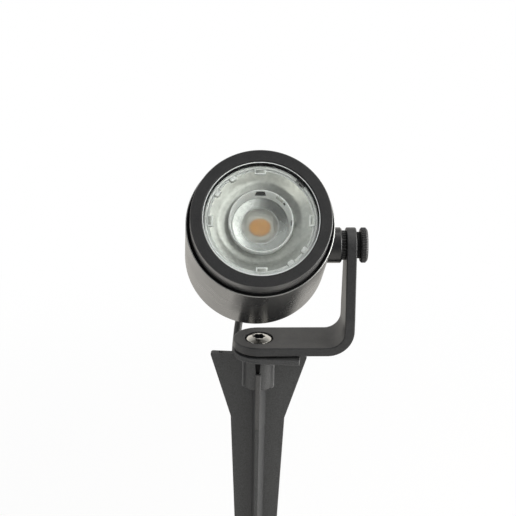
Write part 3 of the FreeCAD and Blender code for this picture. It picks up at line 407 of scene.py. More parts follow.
materials = {name: makeFinish(name, *finish) for name, finish in finishes.items()}
materials["frontGlass"] = makeGlass("frontGlass", (0.97, 0.99, 0.98, 1.0), 0.0, 1.45, 1.0)
materials["lensClear"] = makeGlass("lensClear", (1.0, 1.0, 0.985, 1.0), 0.28, 1.3, 0.95)
print("materials ready:", len(materials))

# surfaces, in millimetres


def fullTurn(steps):
    return np.linspace(0, 2 * np.pi, steps, endpoint=False)


def rounded(corners, radius, steps=4, closed=True):
    # every corner becomes an arc tangent to its two sides, no longer than 0.45 of the shorter one
    point = np.array(corners, float)
    radius = np.broadcast_to(np.asarray(radius, float), len(point))[:, None]
    back, ahead = np.roll(point, 1, 0) - point, np.roll(point, -1, 0) - point
    backLength = np.linalg.norm(back, axis=1)[:, None]
    aheadLength = np.linalg.norm(ahead, axis=1)[:, None]
    back, ahead = back / backLength, ahead / aheadLength
    half = 0.5 * np.arccos(np.clip((back * ahead).sum(1), -0.99999, 0.99999))[:, None]
    reach = np.minimum(radius / np.tan(half), 0.45 * np.minimum(backLength, aheadLength))
    bisector = (back + ahead) / np.linalg.norm(back + ahead, axis=1)[:, None]
    centre = point + bisector * reach / np.cos(half)
    start, end = point + back * reach - centre, point + ahead * reach - centre
    sweep = (np.pi - 2 * half)[:, :, None]
    k = np.linspace(0, 1, steps)[None, :, None]
    arc = centre[:, None] + (np.sin((1 - k) * sweep) * start[:, None] + np.sin(k * sweep) * end[:, None]) \
        / np.sin(sweep)
    if closed:
        return arc.reshape(-1, 2)
    return np.concatenate([point[:1], arc[1:-1].reshape(-1, 2), point[-1:]])


def lathe(profile, steps=128):
    # point = (r cos a, r sin a, h) for each angle a and each (r, h) of the profile
    angle = fullTurn(steps)[:, None]
    radius, height = profile[None, :, 0], profile[None, :, 1]
    return np.stack([radius * np.cos(angle), radius * np.sin(angle), height + 0 * angle], -1)


def alongX(grid):
    # a turned piece with its axis laid along X
    return grid[..., [2, 0, 1]]


def reachOf(grid):
    # distance from the axis, never quite zero
    return np.maximum(np.hypot(grid[..., 0], grid[..., 1]), 1e-6)


def drawnIn(grid, cut):
    # every point moves towards the axis by the cut: (x, y) (r - cut) / r
    scale = (reachOf(grid) - cut) / reachOf(grid)
    return grid * np.stack([scale, scale, np.ones_like(scale)], -1)


def flattened(grid, half, low=-np.inf):
    # a round piece gets six flats above a height: r = half / cos(a folded into one flat's angle)
    step = np.pi / 3
    angle = np.arctan2(grid[..., 1], grid[..., 0])
    limit = half / np.cos((angle + step / 2) % step - step / 2)
    return drawnIn(grid, np.maximum(reachOf(grid) - limit, 0) * (grid[..., 2] > low))


def teethPhase(grid, count):
    # 1 where each of the teeth starts, 0 half way to the next
    return np.abs((fullTurn(len(grid)) * count / (2 * np.pi)) % 1.0 - 0.5)[:, None] * 2


def circle(radius, steps=64):
    return radius * np.stack([np.cos(fullTurn(steps)), np.sin(fullTurn(steps))], 1)


def ringCorners(inner, outer, low, high):
    return [(inner, low), (outer, low), (outer, high), (inner, high)]


def rectangle(x0, x1, y0, y1, radius, steps=4):
    return rounded(ringCorners(x0, x1, y0, y1), radius, steps)


def slab(outline, low, high, edge, centre=(0.0, 0.0), steps=4):
    # outline pushed from low to high; inset = edge (1 - sin t), height = low + edge (1 - cos t), and so on top
    ahead = np.roll(outline, -1, 0) - np.roll(outline, 1, 0)
    inward = np.stack([-ahead[:, 1], ahead[:, 0]], 1) / np.linalg.norm(ahead, axis=1)[:, None]
    turn = np.linspace(0, np.pi / 2, steps)
    inset = np.concatenate([edge * (1 - np.sin(turn)), edge * (1 - np.cos(turn))])
    height = np.concatenate([low + edge * (1 - np.cos(turn)), high - edge * (1 - np.sin(turn))])
    side = outline[:, None] + inward[:, None] * inset[None, :, None]
    middle = np.broadcast_to(np.array(centre, float), (len(outline), 1, 2))
    flat = np.concatenate([middle, side, middle], 1)
    level = np.concatenate([[low], height, [high]])
    return np.concatenate([flat, np.broadcast_to(level[None, :, None], flat.shape[:2] + (1,))], -1)


def gridFaces(rows, columns, closeColumns, keep):
    # four corner numbers for each cell of the grid
    i = np.arange(rows)[:, None]
    j = np.arange(columns if closeColumns else columns - 1)[None, :]
    nextI, nextJ = (i + 1) % rows, (j + 1) % columns
    faces = np.stack([i * columns + j, nextI * columns + j, nextI * columns + nextJ, i * columns + nextJ], -1)
    return faces.reshape(-1, 4) if keep is None else faces[keep]


def surface(points, closeColumns=False, keep=None, finish=0, place=None):
    # a grid closed along its rows; finish is one number for all faces, or an array for its columns or cells
    return dict(points=points, closeColumns=closeColumns, keep=keep, finish=finish, place=place)


def bands(profile, rule, closed=True):
    # a finish number for each strip between two profile points, from the radius and height of its middle
    ahead = np.roll(profile, -1, 0) if closed else profile[1:]
    middle = (profile[:len(ahead)] + ahead) / 2
    return np.asarray(rule(middle[:, 0], middle[:, 1])).astype(np.int32)


def lathed(corners, radius, steps=128, change=None, rule=None, arc=4, place=None):
    # the rounded corners turned round; the profile is open where it starts on the axis
    closed = corners[0][0] > 0
    profile = rounded(corners, radius, arc, closed)
    grid = lathe(profile, steps)
    return surface(grid if change is None else change(grid), closed, place=place,
                   finish=0 if rule is None else bands(profile, rule, closed))


def placed(points, place):
    turn = np.array(place)
    return points @ turn[:3, :3].T + turn[:3, 3]


merging = dict(doubles=0.0025, degenerate=0.001)


def cleanMesh(mesh, doubles, degenerate=None):
    # points closer than doubles are merged, and faces thinner than degenerate go
    tidy = bmesh.new()
    tidy.from_mesh(mesh)
    bmesh.ops.remove_doubles(tidy, verts=tidy.verts, dist=doubles * mm)
    if degenerate is not None:
        bmesh.ops.dissolve_degenerate(tidy, edges=tidy.edges, dist=degenerate * mm)
    bmesh.ops.recalc_face_normals(tidy, faces=tidy.faces)
    tidy.to_mesh(mesh)
    tidy.free()


def setFinish(mesh, key):
    # one finish in place of those the mesh has
    mesh.materials.clear()
    mesh.materials.append(materials[key])


def buildMesh(name, surfaces, place, finish):
    points, faces, finishOfFace, first = [], [], [], 0
    for part in surfaces:
        grid, keep = part["points"], part["keep"]
        flat = grid.reshape(-1, 3)
        if part["place"] is not None:
            flat = placed(flat, part["place"])
        rows, columns = grid.shape[:2]
        numbers = np.broadcast_to(np.asarray(part["finish"]), (rows, columns - (not part["closeColumns"])))
        points.append(flat)
        faces.append(gridFaces(rows, columns, part["closeColumns"], keep) + first)
        finishOfFace.append(numbers.ravel() if keep is None else numbers[keep])
        first += len(flat)
    mesh = bpy.data.meshes.new(name)
    mesh.from_pydata((placed(np.concatenate(points), place) * mm).tolist(), [], np.concatenate(faces).tolist())
    for key in [finish] if isinstance(finish, str) else finish:
        mesh.materials.append(materials[key])
    mesh.polygons.foreach_set("material_index", np.concatenate(finishOfFace).astype(np.int32))
    cleanMesh(mesh, **merging)
    return mesh


def joinMeshes(operation, mesh, others):
    # the first closed mesh joined with or cut by the others, which are used up
    base = bpy.data.objects.new("base", mesh)
    tools = [bpy.data.objects.new("tool", other) for other in others]
    for piece in [base] + tools:
        bpy.context.scene.collection.objects.link(piece)
    for tool in tools:
        step = base.modifiers.new("step", "BOOLEAN")
        step.operation, step.solver, step.object = operation, "EXACT", tool
    result = evaluatedMesh(base)
    for piece in [base] + tools:
        bpy.data.objects.remove(piece)
    return result


def evaluatedMesh(piece):
    bpy.context.view_layer.update()
    return bpy.data.meshes.new_from_object(piece.evaluated_get(bpy.context.evaluated_depsgraph_get()))


def addObject(name, mesh, body, replaced=(), sharp=32.0, even=True):
    mesh.name = name
    mesh.shade_smooth()
    mesh.set_sharp_from_angle(angle=math.radians(sharp))
    piece = bpy.data.objects.new(name, mesh)
    bpy.context.scene.collection.objects.link(piece)
    if even:
        weighted = piece.modifiers.new("evenShading", "WEIGHTED_NORMAL")
        weighted.keep_sharp = True
    if body:
        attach(piece, body)
    if replaced:
        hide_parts(*replaced)
    return piece


def addPiece(name, surfaces, finish, body, replaced=(), place=Matrix(), sharp=32.0, even=True):
    return addObject(name, buildMesh(name, surfaces, place, finish), body, replaced, sharp, even)


pivotPlace = Matrix.Translation((0, 0, headPose["pivotZ"])) @ Matrix.Rotation(
    math.radians(90.0 - headPose["tilt"]), 4, "X")
headPlace = pivotPlace @ Matrix.Translation((headPose["headX"], 0, 0))


def addHeadPiece(name, surfaces, finish, replaced=(), even=True):
    return addPiece(name, surfaces, finish, "head", replaced, headPlace, even=even)


# head

housing = dict(radius=26.8, rear=-15.4, front=28.3, wall=2.8, chamberStep=1.4, shelf=10.0, floor=3.0, hole=4.2,
               rebate=2.5, rearBevel=0.7, rimBevel=0.2, lip=0.42, lipSlope=0.05, highlightBand=0.15, steps=192,
               rounding=(0.1, 0.3, 0.3, 0.08, 0.05, 0.05, 0.05, 0.1, 0.1, 0.1, 0.5, 0.1))


def addHousing(h):
    # turned from its corners: a barrel with a stepped chamber; the strips at the front edge take a pale metal finish,
    # a painted highlight on the rim's bevel
    inner = h["radius"] - h["wall"]
    chamber, lip = inner - h["chamberStep"], h["radius"] - h["lip"]
    rebate, floor = h["front"] - h["rebate"], h["rear"] + h["floor"]
    corners = [
        (h["hole"], h["rear"]), (h["radius"] - h["rearBevel"], h["rear"]), (h["radius"], h["rear"] + h["rearBevel"]),
        (h["radius"], h["front"] - h["rimBevel"]), (h["radius"] - h["rimBevel"], h["front"]), (lip, h["front"]),
        (lip - h["lipSlope"], rebate), (inner, rebate), (inner, h["shelf"]), (chamber, h["shelf"]),
        (chamber, floor), (h["hole"], floor),
    ]
    barrel = lathed(corners, h["rounding"], h["steps"], rule=lambda r, z: z > h["front"] - h["highlightBand"])
    addHeadPiece("headHousing", [barrel], ["barrelBlack", "barrelEdgeHighlight"], ["head_housing"])


bezel = dict(radius=25.3, aperture=21.0, front=36.9, bore=22.7, lip=35.95, shoulder=26.9, skirt=23.95, skirtEnd=19.0,
             faceBevel=0.3, lipBevel=0.25, faceDepth=0.05, steps=192,
             rounding=(0.12, 0.12, 0.2, 0.2, 0.15, 0.1, 0.1, 0.1, 0.1, 0.08))


def addBezel(b):
    # turned from its corners: a face ring with a skirt behind; its side below the face is satin
    corners = [
        (b["aperture"], b["front"] - b["lipBevel"]), (b["aperture"] + b["lipBevel"], b["front"]),
        (b["radius"] - b["faceBevel"], b["front"]), (b["radius"], b["front"] - b["faceBevel"]),
        (b["radius"], b["shoulder"]), (b["skirt"], b["shoulder"]), (b["skirt"], b["skirtEnd"]),
        (b["bore"], b["skirtEnd"]), (b["bore"], b["lip"]), (b["aperture"], b["lip"]),
    ]
    ring = lathed(corners, b["rounding"], b["steps"],
                  rule=lambda r, z: (r > b["radius"] - b["faceBevel"]) & (z < b["front"] - b["faceDepth"]))
    addHeadPiece("bezelRing", [ring], ["bezelBlack", "bezelSatin"], ["bezel_ring"])


glass = dict(radius=22.6, thick=3.0, front=35.9, proud=0.5, edge=20.92, bevel=0.06, ring=0.33, level=0.01, steps=160,
             rounding=(0, 0.15, 0.15, 0.05, 0.02, 0.02, 0))


def addGlass(g):
    # a disc with a step: its front stands proud inside the bezel, with a ground ring at the edge
    rear, front = g["front"] - g["thick"], g["front"] + g["proud"]
    corners = [(0, rear), (g["radius"], rear), (g["radius"], g["front"]), (g["edge"], g["front"]),
               (g["edge"], front - g["bevel"]), (g["edge"] - g["bevel"], front), (0, front)]
    inside = (g["edge"] - g["ring"], front)  # the ground ring ends here
    profile = np.insert(rounded(corners, g["rounding"], closed=False), -1, inside, axis=0)
    ground = bands(profile, lambda r, z: (r > inside[0]) & (z > g["front"] + g["level"]), closed=False)
    addHeadPiece("frontGlass", [surface(lathe(profile, g["steps"]), finish=ground)], ["frontGlass", "groundGlass"],
                 ["front_glass"])


seals = dict(bezelSeal=dict(ring=(24.05, 26.0, 25.85, 26.85), rounding=0.4, node="housing_o_ring"),
             glassSeal=dict(ring=(20.5, 22.6, 32.0, 32.88), rounding=0.15, node="glass_gasket"))


def addHeadSeals(seals):
    # turned rings with rounded corners
    for name, seal in seals.items():
        addHeadPiece(name, [lathed(ringCorners(*seal["ring"]), seal["rounding"])], "sealRubber",
                     [seal["node"]])


addHousing(housing)
addBezel(bezel)
addGlass(glass)
addHeadSeals(seals)
print("head shells ready")

# light engine

# a tab's numbers: from and to, outwards from the rim's inside; half width; low and high, up from the rim's front;
# edge, corner and finish
optic = dict(
    radius=20.25, front=32.4, wall=1.0, foot=13.05, bevel=0.5, crown=0.15, drop=0.2, rounding=0.12, steps=144,
    notch=(44, -0.5, 1.5, 2.0, -1.2, 1.0, 0.02, 0.25),
    pegs=((122, 146, 304, 325), (-1.6, 0.2, 1.25, -1.6, -0.2, 0.35, 0.7),
          (-1.95, -0.05, 1.65, -1.6, -0.62, 0.05, 0.8, 1)),
    clips=((0, 90, 180, 270), (-2.1, -0.1, 2.05, -1.8, 0.2, 0.1, 0.25),
           (-1.65, -0.5, 1.55, -0.6, 0.23, 0.03, 0.15, 1)),
    catch=((44,), (-0.7, 0.9, 1.9, -1.6, -0.9, 0.1, 0.1, 1)),
    # the catch hole's block is black: painted shade in the notch
    catchHoleShade=((43,), (-0.6, 0.5, 0.7, -1.2, -0.85, 0.05, 0.1, 2)),
)


def clockPlace(angle):
    return Matrix.Rotation(math.radians(angle), 4, "Z")


def tab(o, angle, start, end, half, low, high, edge, corner, finish=0):
    # a small rounded block at the optic's rim, turned to its clock place
    inside = o["radius"] - o["wall"]
    outline = rectangle(inside + start, inside + end, -half, half, corner)
    block = slab(outline, o["front"] + low, o["front"] + high, edge, (inside + (start + end) / 2, 0.0), 3)
    return surface(block, finish=finish, place=clockPlace(angle))


def addOpticHolder(o):
    # a turned ring with one notch cut through, and tabs inside its front edge
    inner = o["radius"] - o["wall"]
    corners = [(inner, o["foot"]), (o["radius"], o["foot"]), (o["radius"], o["front"]),
               (o["radius"] - o["bevel"], o["front"] + o["crown"]), (inner, o["front"] - o["drop"])]
    ring = buildMesh("ring", [lathed(corners, o["rounding"], o["steps"])], headPlace, "frostedOptic")
    cut = buildMesh("cut", [tab(o, *o["notch"])], headPlace, "frostedOptic")
    addObject("opticHolder", joinMeshes("DIFFERENCE", ring, [cut]), "head", ["optic_holder"])
    parts = [tab(o, angle, *row) for angles, *rows in (o["pegs"], o["clips"], o["catch"], o["catchHoleShade"])
             for angle in angles for row in rows]
    addHeadPiece("opticPegs", parts, ["pegWhite", "satinReflector", "sealRubber"])


bowl = dict(rim=18.4, hub=11.7, low=28.8, middle=29.8, top=31.8, skin=1.2, hubWall=1.0, foot=13.1, ripple=0.09,
            lip=((18.55, 31.7), (19.1, 31.55), (19.1, 31.2), (18.5, 31.2)), lipFace=0.3, points=36, steps=160)


def addOuterReflector(b):
    # from hub to rim, s from 0 to 1: height = low + a s + c s^2 + ripple sin(3 pi s), through low, middle and top
    s = np.linspace(0, 1, b["points"])
    rise, half = b["top"] - b["low"], b["middle"] - b["low"]
    curve = 2 * rise - 4 * half
    height = b["low"] + (rise - curve) * s + curve * s ** 2 + b["ripple"] * np.sin(3 * np.pi * s)
    face = np.stack([b["hub"] + (b["rim"] - b["hub"]) * s, height], 1)
    back = face[::-1] - np.array([0.0, b["skin"]])
    wall = b["hub"] + b["hubWall"]
    foot = [(wall, b["low"] - b["skin"]), (wall, b["foot"]), (b["hub"], b["foot"])]
    profile = np.concatenate([face, b["lip"], back[:-5], foot])
    frosted = bands(profile, lambda r, z: (r > b["rim"]) & (z > b["top"] - b["lipFace"]))
    addHeadPiece("outerReflector", [surface(lathe(profile, b["steps"]), True, finish=frosted)],
                 ["satinReflector", "frostedOptic"], ["outer_reflector"], even=False)


# an opening's numbers: clock place; low and high, up from the holder's front; half widths there
holder = dict(radius=11.6, front=32.0, lip=0.5, wall=1.3, bevel=0.2, flare=26.2, foot=13.1, seat=24.0, seatThick=0.9,
              seatRadius=8.1, steps=160, rounding=(0.6, 0.12, 0.1, 0.1, 0.1, 0.1, 0.1, 0.1, 0.1, 0.1),
              openings=((90, -4.0, -0.5, 2.1, 1.5), (38.5, -2.6, -1.0, 0.45, 0.45), (-2, -2.4, -0.8, 1.0, 1.0)),
              cutReach=(9.6, 12.0), insert=0.3, sunk=0.03,
              patch=(50.5, -2.8, -0.3, 1.5, 1.5), patchReach=(10.62, 11.3), patchEdge=0.06)


def radialBlock(h, opening, start, end, finish=0, edge=0.02, slope=0.0):
    # a block that fills an opening from start to end outwards; the slope moves it outwards over its foot
    angle, low, high, halfLow, halfHigh = opening
    outline = np.array([(-halfLow, low), (halfLow, low), (halfHigh, high), (-halfHigh, high)]) + (0, h["front"])
    grid = alongX(slab(outline, start, end, edge, tuple(outline.mean(0)), 2))
    grid[..., 0] += slope * (grid[..., 2] - grid[..., 2].min())
    return surface(grid, finish=finish, place=clockPlace(angle))


def addLensHolder(h):
    # a turned ring that flares to its front and holds the lens on a shelf; openings are cut through and filled with
    # black blocks as painted shade
    inner, front = h["radius"] - h["wall"], h["front"]
    shelf = h["seat"] - h["seatThick"]
    corners = [
        (inner, h["flare"]), (h["radius"] - h["lip"], front), (h["radius"] - h["bevel"], front),
        (h["radius"], front - h["bevel"]), (h["radius"], h["foot"]), (inner, h["foot"]), (inner, shelf),
        (h["seatRadius"], shelf), (h["seatRadius"], h["seat"]), (inner, h["seat"]),
    ]
    body = buildMesh("body", [lathed(corners, h["rounding"], h["steps"])], headPlace, "frostedOptic")
    cuts = [buildMesh("cut", [radialBlock(h, opening, *h["cutReach"])], headPlace, "frostedOptic")
            for opening in h["openings"]]
    addObject("lensHolder", joinMeshes("DIFFERENCE", body, cuts), "head", ["lens_holder"])
    lean = (h["wall"] - h["lip"]) / (front - h["flare"])
    parts = []
    # each opening gets a thin black block just inside its wall: painted shade
    for opening in h["openings"]:
        foot = inner + lean * (front + opening[1] - h["flare"]) - h["sunk"]
        parts.append(radialBlock(h, opening, foot, foot + h["insert"], slope=lean))
    parts.append(radialBlock(h, h["patch"], *h["patchReach"], 1, h["patchEdge"]))
    addHeadPiece("holderShadeAndPatch", parts, ["sealRubber", "satinReflector"])


cone = dict(inner=6.8, outer=10.25, low=25.25, top=26.25, lip=0.3, step=0.2, bend=1.3, points=20, steps=144)


def addInnerCone(c):
    # radius = inner + (outer - lip - inner) s, height = low + step + (top - low - step) s^bend
    s = np.linspace(0, 1, c["points"])
    face = np.stack([c["inner"] + (c["outer"] - c["lip"] - c["inner"]) * s,
                     c["low"] + c["step"] + (c["top"] - c["low"] - c["step"]) * s ** c["bend"]], 1)
    profile = np.concatenate([face, [(c["outer"], c["top"]), (c["outer"], c["low"]), (c["inner"], c["low"])]])
    addHeadPiece("innerCone", [surface(lathe(profile, c["steps"]), True)], "mirrorCone",
                 ["inner_cone"], even=False)


lens = dict(flange=10.25, seat=24.0, flangeTop=25.2, flangeDrop=0.02, dome=6.65, domeHeight=1.8, frostedFrom=6.3,
            points=24, steps=128)


def capHeight(radius, wide, high):
    # a sphere's cap: height = high - R + sqrt(R^2 - r^2), zero at its wide rim
    sphere = (wide ** 2 + high ** 2) / (2 * high)
    return high - sphere + np.sqrt(sphere ** 2 - radius ** 2)


def addLens(g):
    radius = g["dome"] * np.linspace(1, 0, g["points"])
    dome = np.stack([radius, g["flangeTop"] + capHeight(radius, g["dome"], g["domeHeight"])], 1)
    rim = [(0, g["seat"]), (g["flange"], g["seat"]), (g["flange"], g["flangeTop"] - g["flangeDrop"])]
    profile = np.concatenate([rim, dome])
    frosted = bands(profile, lambda r, z: (r > g["frostedFrom"]) & (r < g["dome"]) & (z > g["flangeTop"]), False)
    addHeadPiece("collimatorLens", [surface(lathe(profile, g["steps"]), finish=frosted)],
                 ["lensClear", "frostedOptic"], ["collimator_lens"], even=False)


led = dict(half=4.6, base=22.3, carrier=0.5, corner=0.3, edge=0.06, phosphor=3.6, crown=0.6, rounding=(0, 0, 0.3, 0),
           squash=0.82, mark=(-0.9, 0.9, -5.7, -5.3), markCorner=0.1, markHigh=0.12, markEdge=0.03, steps=96)


def addLed(g):
    # a flat carrier, an elliptical pad: y = squash r sin a, and a small mark
    top = g["base"] + g["carrier"]
    plate = slab(rectangle(-g["half"], g["half"], -g["half"], g["half"], g["corner"]), g["base"], top, g["edge"])
    patch = lathed([(0, top), (g["phosphor"], top), (g["phosphor"], top + g["crown"]), (0, top + g["crown"])],
                   g["rounding"], g["steps"], lambda grid: grid * np.array([1.0, g["squash"], 1.0]))
    mark = slab(rectangle(*g["mark"], g["markCorner"]), g["base"], g["base"] + g["markHigh"], g["markEdge"],
                (0.0, sum(g["mark"][2:]) / 2))
    addHeadPiece("ledEmitter", [surface(plate, finish=1), patch, surface(mark, finish=2)],
                 ["ledPhosphor", "circuitBoard", "sealRubber"], ["led_emitter"])


addOpticHolder(optic)
addOuterReflector(bowl)
addLensHolder(holder)
addInnerCone(cone)
addLens(lens)
addLed(led)
print("light engine ready")

# pivot and knob

boss = dict(radius=6.7, foot=20.0, footBand=1.0, end=30.1, bevel=0.55, sunk=0.3, steps=128,
            rounding=(0, 0.02, 0.25, 0.2, 0))


def addBoss(b):
    def ontoBarrel(grid):
        # the inner end follows the barrel: x = headX + sqrt(R^2 - (r cos a)^2)
        barrel = headPose["headX"] + np.sqrt(housing["radius"] ** 2 - grid[..., 0] ** 2) - b["sunk"]
        grid[..., 2] = np.where(grid[..., 2] < b["foot"] + b["footBand"], barrel, grid[..., 2])
        return alongX(grid)

    corners = [(0, b["foot"]), (b["radius"], b["foot"]), (b["radius"], b["end"] - b["bevel"]),
               (b["radius"] - b["bevel"], b["end"]), (0, b["end"])]
    addPiece("pivotBoss", [lathed(corners, b["rounding"], b["steps"], ontoBarrel)], "pivotBlack", "head",
             ["pivot_boss"], pivotPlace)


washer = dict(ring=(2.55, 5.55, 30.1, 31.75), rounding=0.12, depth=0.45, teeth=30, notch=(1.3, 1.6), toothLength=0.6,
              perTooth=8)


def addSerratedWasher(w):
    # a turned ring whose rim is drawn in by depth x notch(a)
    def toothed(grid):
        notch = np.clip(w["notch"][0] - w["notch"][1] * teethPhase(grid, w["teeth"]), 0, 1)
        return alongX(drawnIn(grid, w["depth"] * notch * (reachOf(grid) > w["ring"][1] - w["toothLength"])))

    ring = lathed(ringCorners(*w["ring"]), w["rounding"], w["teeth"] * w["perTooth"], toothed, arc=3)
    addPiece("serratedWasher", [ring], "pivotBlack", "head", ["serrated_washer"], pivotPlace)


knob = dict(start=37.1, end=39.8, radius=6.63, inside=(0.6, 0.5), outside=(0.8, 0.7), knurls=44, depth=0.26,
            groove=(1.4, 0.2), knurlFrom=0.75, knurlRise=0.5, perKnurl=8, rounding=(0, 0.15, 0.15, 0.2, 0.25, 0),
            stud=2.45, studFrom=27.0, studInto=1.0, studRounding=(0, 0.4, 0, 0), studSteps=48,
            washer=5.0, washerStart=35.6, washerRounding=0.12, washerSteps=96)


def addKnob(k):
    # a turned disc whose rim is drawn in by depth x groove(a), its stud and the washer behind it
    def knurled(grid):
        groove = np.clip(k["groove"][0] * teethPhase(grid, k["knurls"]) - k["groove"][1], 0, 1)
        rim = np.clip((reachOf(grid) - (k["radius"] - k["knurlFrom"])) / k["knurlRise"], 0, 1)
        return alongX(drawnIn(grid, k["depth"] * groove * rim))

    corners = [(0, k["start"]), (k["radius"] - k["inside"][0], k["start"]),
               (k["radius"], k["start"] + k["inside"][1]), (k["radius"], k["end"] - k["outside"][1]),
               (k["radius"] - k["outside"][0], k["end"]), (0, k["end"])]
    addPiece("knob", [lathed(corners, k["rounding"], k["knurls"] * k["perKnurl"], knurled)], "knobBlack", "knob",
             ["knob"], pivotPlace, sharp=50.0)
    stud = lathed(ringCorners(0, k["stud"], k["studFrom"], k["start"] + k["studInto"]), k["studRounding"],
                  k["studSteps"], alongX)
    addPiece("knobStud", [stud], "stainless", "knob", ["knob_stud"], pivotPlace)
    ring = lathed(ringCorners(k["stud"], k["washer"], k["washerStart"], k["start"]), k["washerRounding"],
                  k["washerSteps"], alongX)
    addPiece("knobWasher", [ring], "sealRubber", "knob", ["knob_washer"], pivotPlace)


addBoss(boss)
addSerratedWasher(washer)
addKnob(knob)
print("pivot ready")


# bracket

strap = dict(bottom=1.8, top=5.2, halfWidth=9.85, outerBend=10.0, legIn=31.8, legOut=35.55, taperStart=16.8,
             legEnd=6.65, edge=0.45, recess=5.45, recessFloor=4.0, recessBevel=0.2, screwHole=2.75, studHole=2.6,
             shoulderEnd=9.0, nearReach=8.0, middleStep=2.0, edgePoints=6, shares=(0.5, 0.95),
             counts=dict(end=22, shoulder=14, straight=60, taper=24, near=10, tip=22))


def addStrap(b):
    # a flat pattern (s along the strap, w across, t through it) is wrapped round the bend:
    # base x = s; bend x = x0 + r sin p, z = z0 - r cos p; leg z rises with s
    innerBend = b["outerBend"] - (b["legOut"] - b["legIn"])
    bendX = b["legOut"] - b["outerBend"]
    bendLength = math.pi / 4 * (b["outerBend"] + innerBend)
    legStart = bendX + bendLength
    lowOuter, lowInner = b["bottom"] + b["outerBend"], b["top"] + innerBend
    pivotS = legStart + headPose["pivotZ"] - lowOuter
    taperS = legStart + b["taperStart"] - lowOuter
    lean = math.atan2(b["halfWidth"] - b["legEnd"], pivotS - taperS)
    counts, wide, line = b["counts"], b["halfWidth"], np.linspace

    def arc(centreS, radius, first, last, count):
        angle = np.radians(line(first, last, count))
        return np.stack([centreS + radius * np.cos(angle), radius * np.sin(angle)], 1)

    def innerLine(recess, stud):
        along = np.concatenate([line(recess, taperS - b["middleStep"], counts["straight"]),
                                line(taperS - b["middleStep"], pivotS - stud, counts["taper"])])
        return np.concatenate([
            arc(0, recess, 180, 90, counts["end"]), arc(0, recess, 90, 0, counts["shoulder"]),
            np.stack([along, 0 * along], 1), arc(pivotS, stud, 180, 90, counts["near"]),
            arc(pivotS, stud, 90, 0, counts["tip"])])

    touch = (pivotS + b["legEnd"] * math.sin(lean), b["legEnd"] * math.cos(lean))
    nearS = pivotS - b["nearReach"]
    beside = (nearS, np.interp(nearS, [taperS, touch[0]], [wide, touch[1]]))
    outline = np.concatenate([
        arc(0, wide, 180, 90, counts["end"]), line((0, wide), (b["shoulderEnd"], wide), counts["shoulder"]),
        line((b["shoulderEnd"], wide), (taperS, wide), counts["straight"]),
        line((taperS, wide), beside, counts["taper"]), line(beside, touch, counts["near"]),
        arc(pivotS, b["legEnd"], 90 - math.degrees(lean), 0, counts["tip"])])
    ahead = np.gradient(outline, axis=0)
    ahead[0], ahead[-1] = (0, 1), (0, -1)
    inward = np.stack([ahead[:, 1], -ahead[:, 0]], 1)
    inward /= np.maximum(np.linalg.norm(inward, axis=1), 1e-9)[:, None]
    thick, edge, bevel = b["top"] - b["bottom"], b["edge"], b["recessBevel"]
    turn = line(0, np.pi / 2, b["edgePoints"])
    inset = outline + inward * edge
    holeLine, recessLine = innerLine(b["screwHole"], b["studHole"]), innerLine(b["recess"], b["studHole"])
    rimLine = innerLine(b["recess"] + bevel, b["studHole"] + bevel)
    floorT = (b["recessFloor"] - b["bottom"]) / thick
    rows = [(holeLine, 0.0)]
    rows += [(holeLine * (1 - share) + inset * share, 0.0) for share in b["shares"]]
    rows += [(outline + inward * edge * (1 - math.sin(t)), edge * (1 - math.cos(t)) / thick) for t in turn]
    rows += [(outline + inward * edge * (1 - math.cos(t)), 1 - edge * (1 - math.sin(t)) / thick) for t in turn]
    rows += [(rimLine * (1 - share) + inset * share, 1.0) for share in b["shares"][::-1]]
    rows += [(rimLine, 1.0), (recessLine, 1.0 - bevel / thick), (recessLine, floorT), (holeLine, floorT)]
    flat = np.stack([row for row, level in rows], 1)  # half outline x rows x (s, w)
    t = np.broadcast_to(np.array([level for row, level in rows])[None, :], flat.shape[:2])
    both = np.concatenate([flat, flat[::-1] * np.array([1, -1])])
    s, w, t = both[..., 0], both[..., 1], np.concatenate([t, t[::-1]])
    phase = np.clip((s - bendX) / bendLength, 0, 1) * np.pi / 2
    rise = np.maximum(s - legStart, 0)
    height = pivotS - legStart
    outerZ = lowOuter + rise
    innerZ = np.where(rise < height, lowInner + rise * (headPose["pivotZ"] - lowInner) / height, lowOuter + rise)
    inBase, inBend = s < bendX, (s >= bendX) & (s < legStart)

    def side(bendRadius, level, legX, centreZ, legZ):
        x = np.where(inBase, s, np.where(inBend, bendX + bendRadius * np.sin(phase), legX))
        z = np.where(inBase, level, np.where(inBend, centreZ - bendRadius * np.cos(phase), legZ))
        return np.stack([x, -w, z], -1)

    outer = side(b["outerBend"], b["bottom"], b["legOut"], lowOuter, outerZ)
    inner = side(innerBend, b["top"], b["legIn"], lowInner, innerZ)
    grid = outer * (1 - t[..., None]) + inner * t[..., None]
    # the seam between the two holes has no wall, so the faces of the last four rows are left out there
    isSeam = np.zeros(len(flat), bool)
    seamFirst = counts["end"] + counts["shoulder"]
    isSeam[seamFirst:seamFirst + counts["straight"] + counts["taper"] - 1] = True
    isSeam[seamFirst - 1] = False
    rowSeam = np.concatenate([isSeam[:-1], [False], isSeam[:-1][::-1], [False]])
    keep = np.ones((len(rowSeam), grid.shape[1]), bool)
    keep[rowSeam, -4:] = False
    addPiece("bracketStrap", [surface(grid, True, keep)], "powderBlack", "bracket", ["bracket_strap"])


screw = dict(shank=2.45, head=4.75, headHeight=2.25, rim=0.9, seat=4.03, tip=-12.0, tipBevel=0.5, socket=2.1,
             lobe=0.28, depth=1.4, flat=0.6, foot=(0.05, 0.08), wallDrop=0.12, flare=(0.08, 0.02), crownFrom=0.55,
             crownTo=0.12, points=14, steps=192,
             rounding=(0, 0.12, 0.08, 0.1, 0.1, 0.1, 0), lobeShares=(0.6, 1.0, 1.0, 0.9))


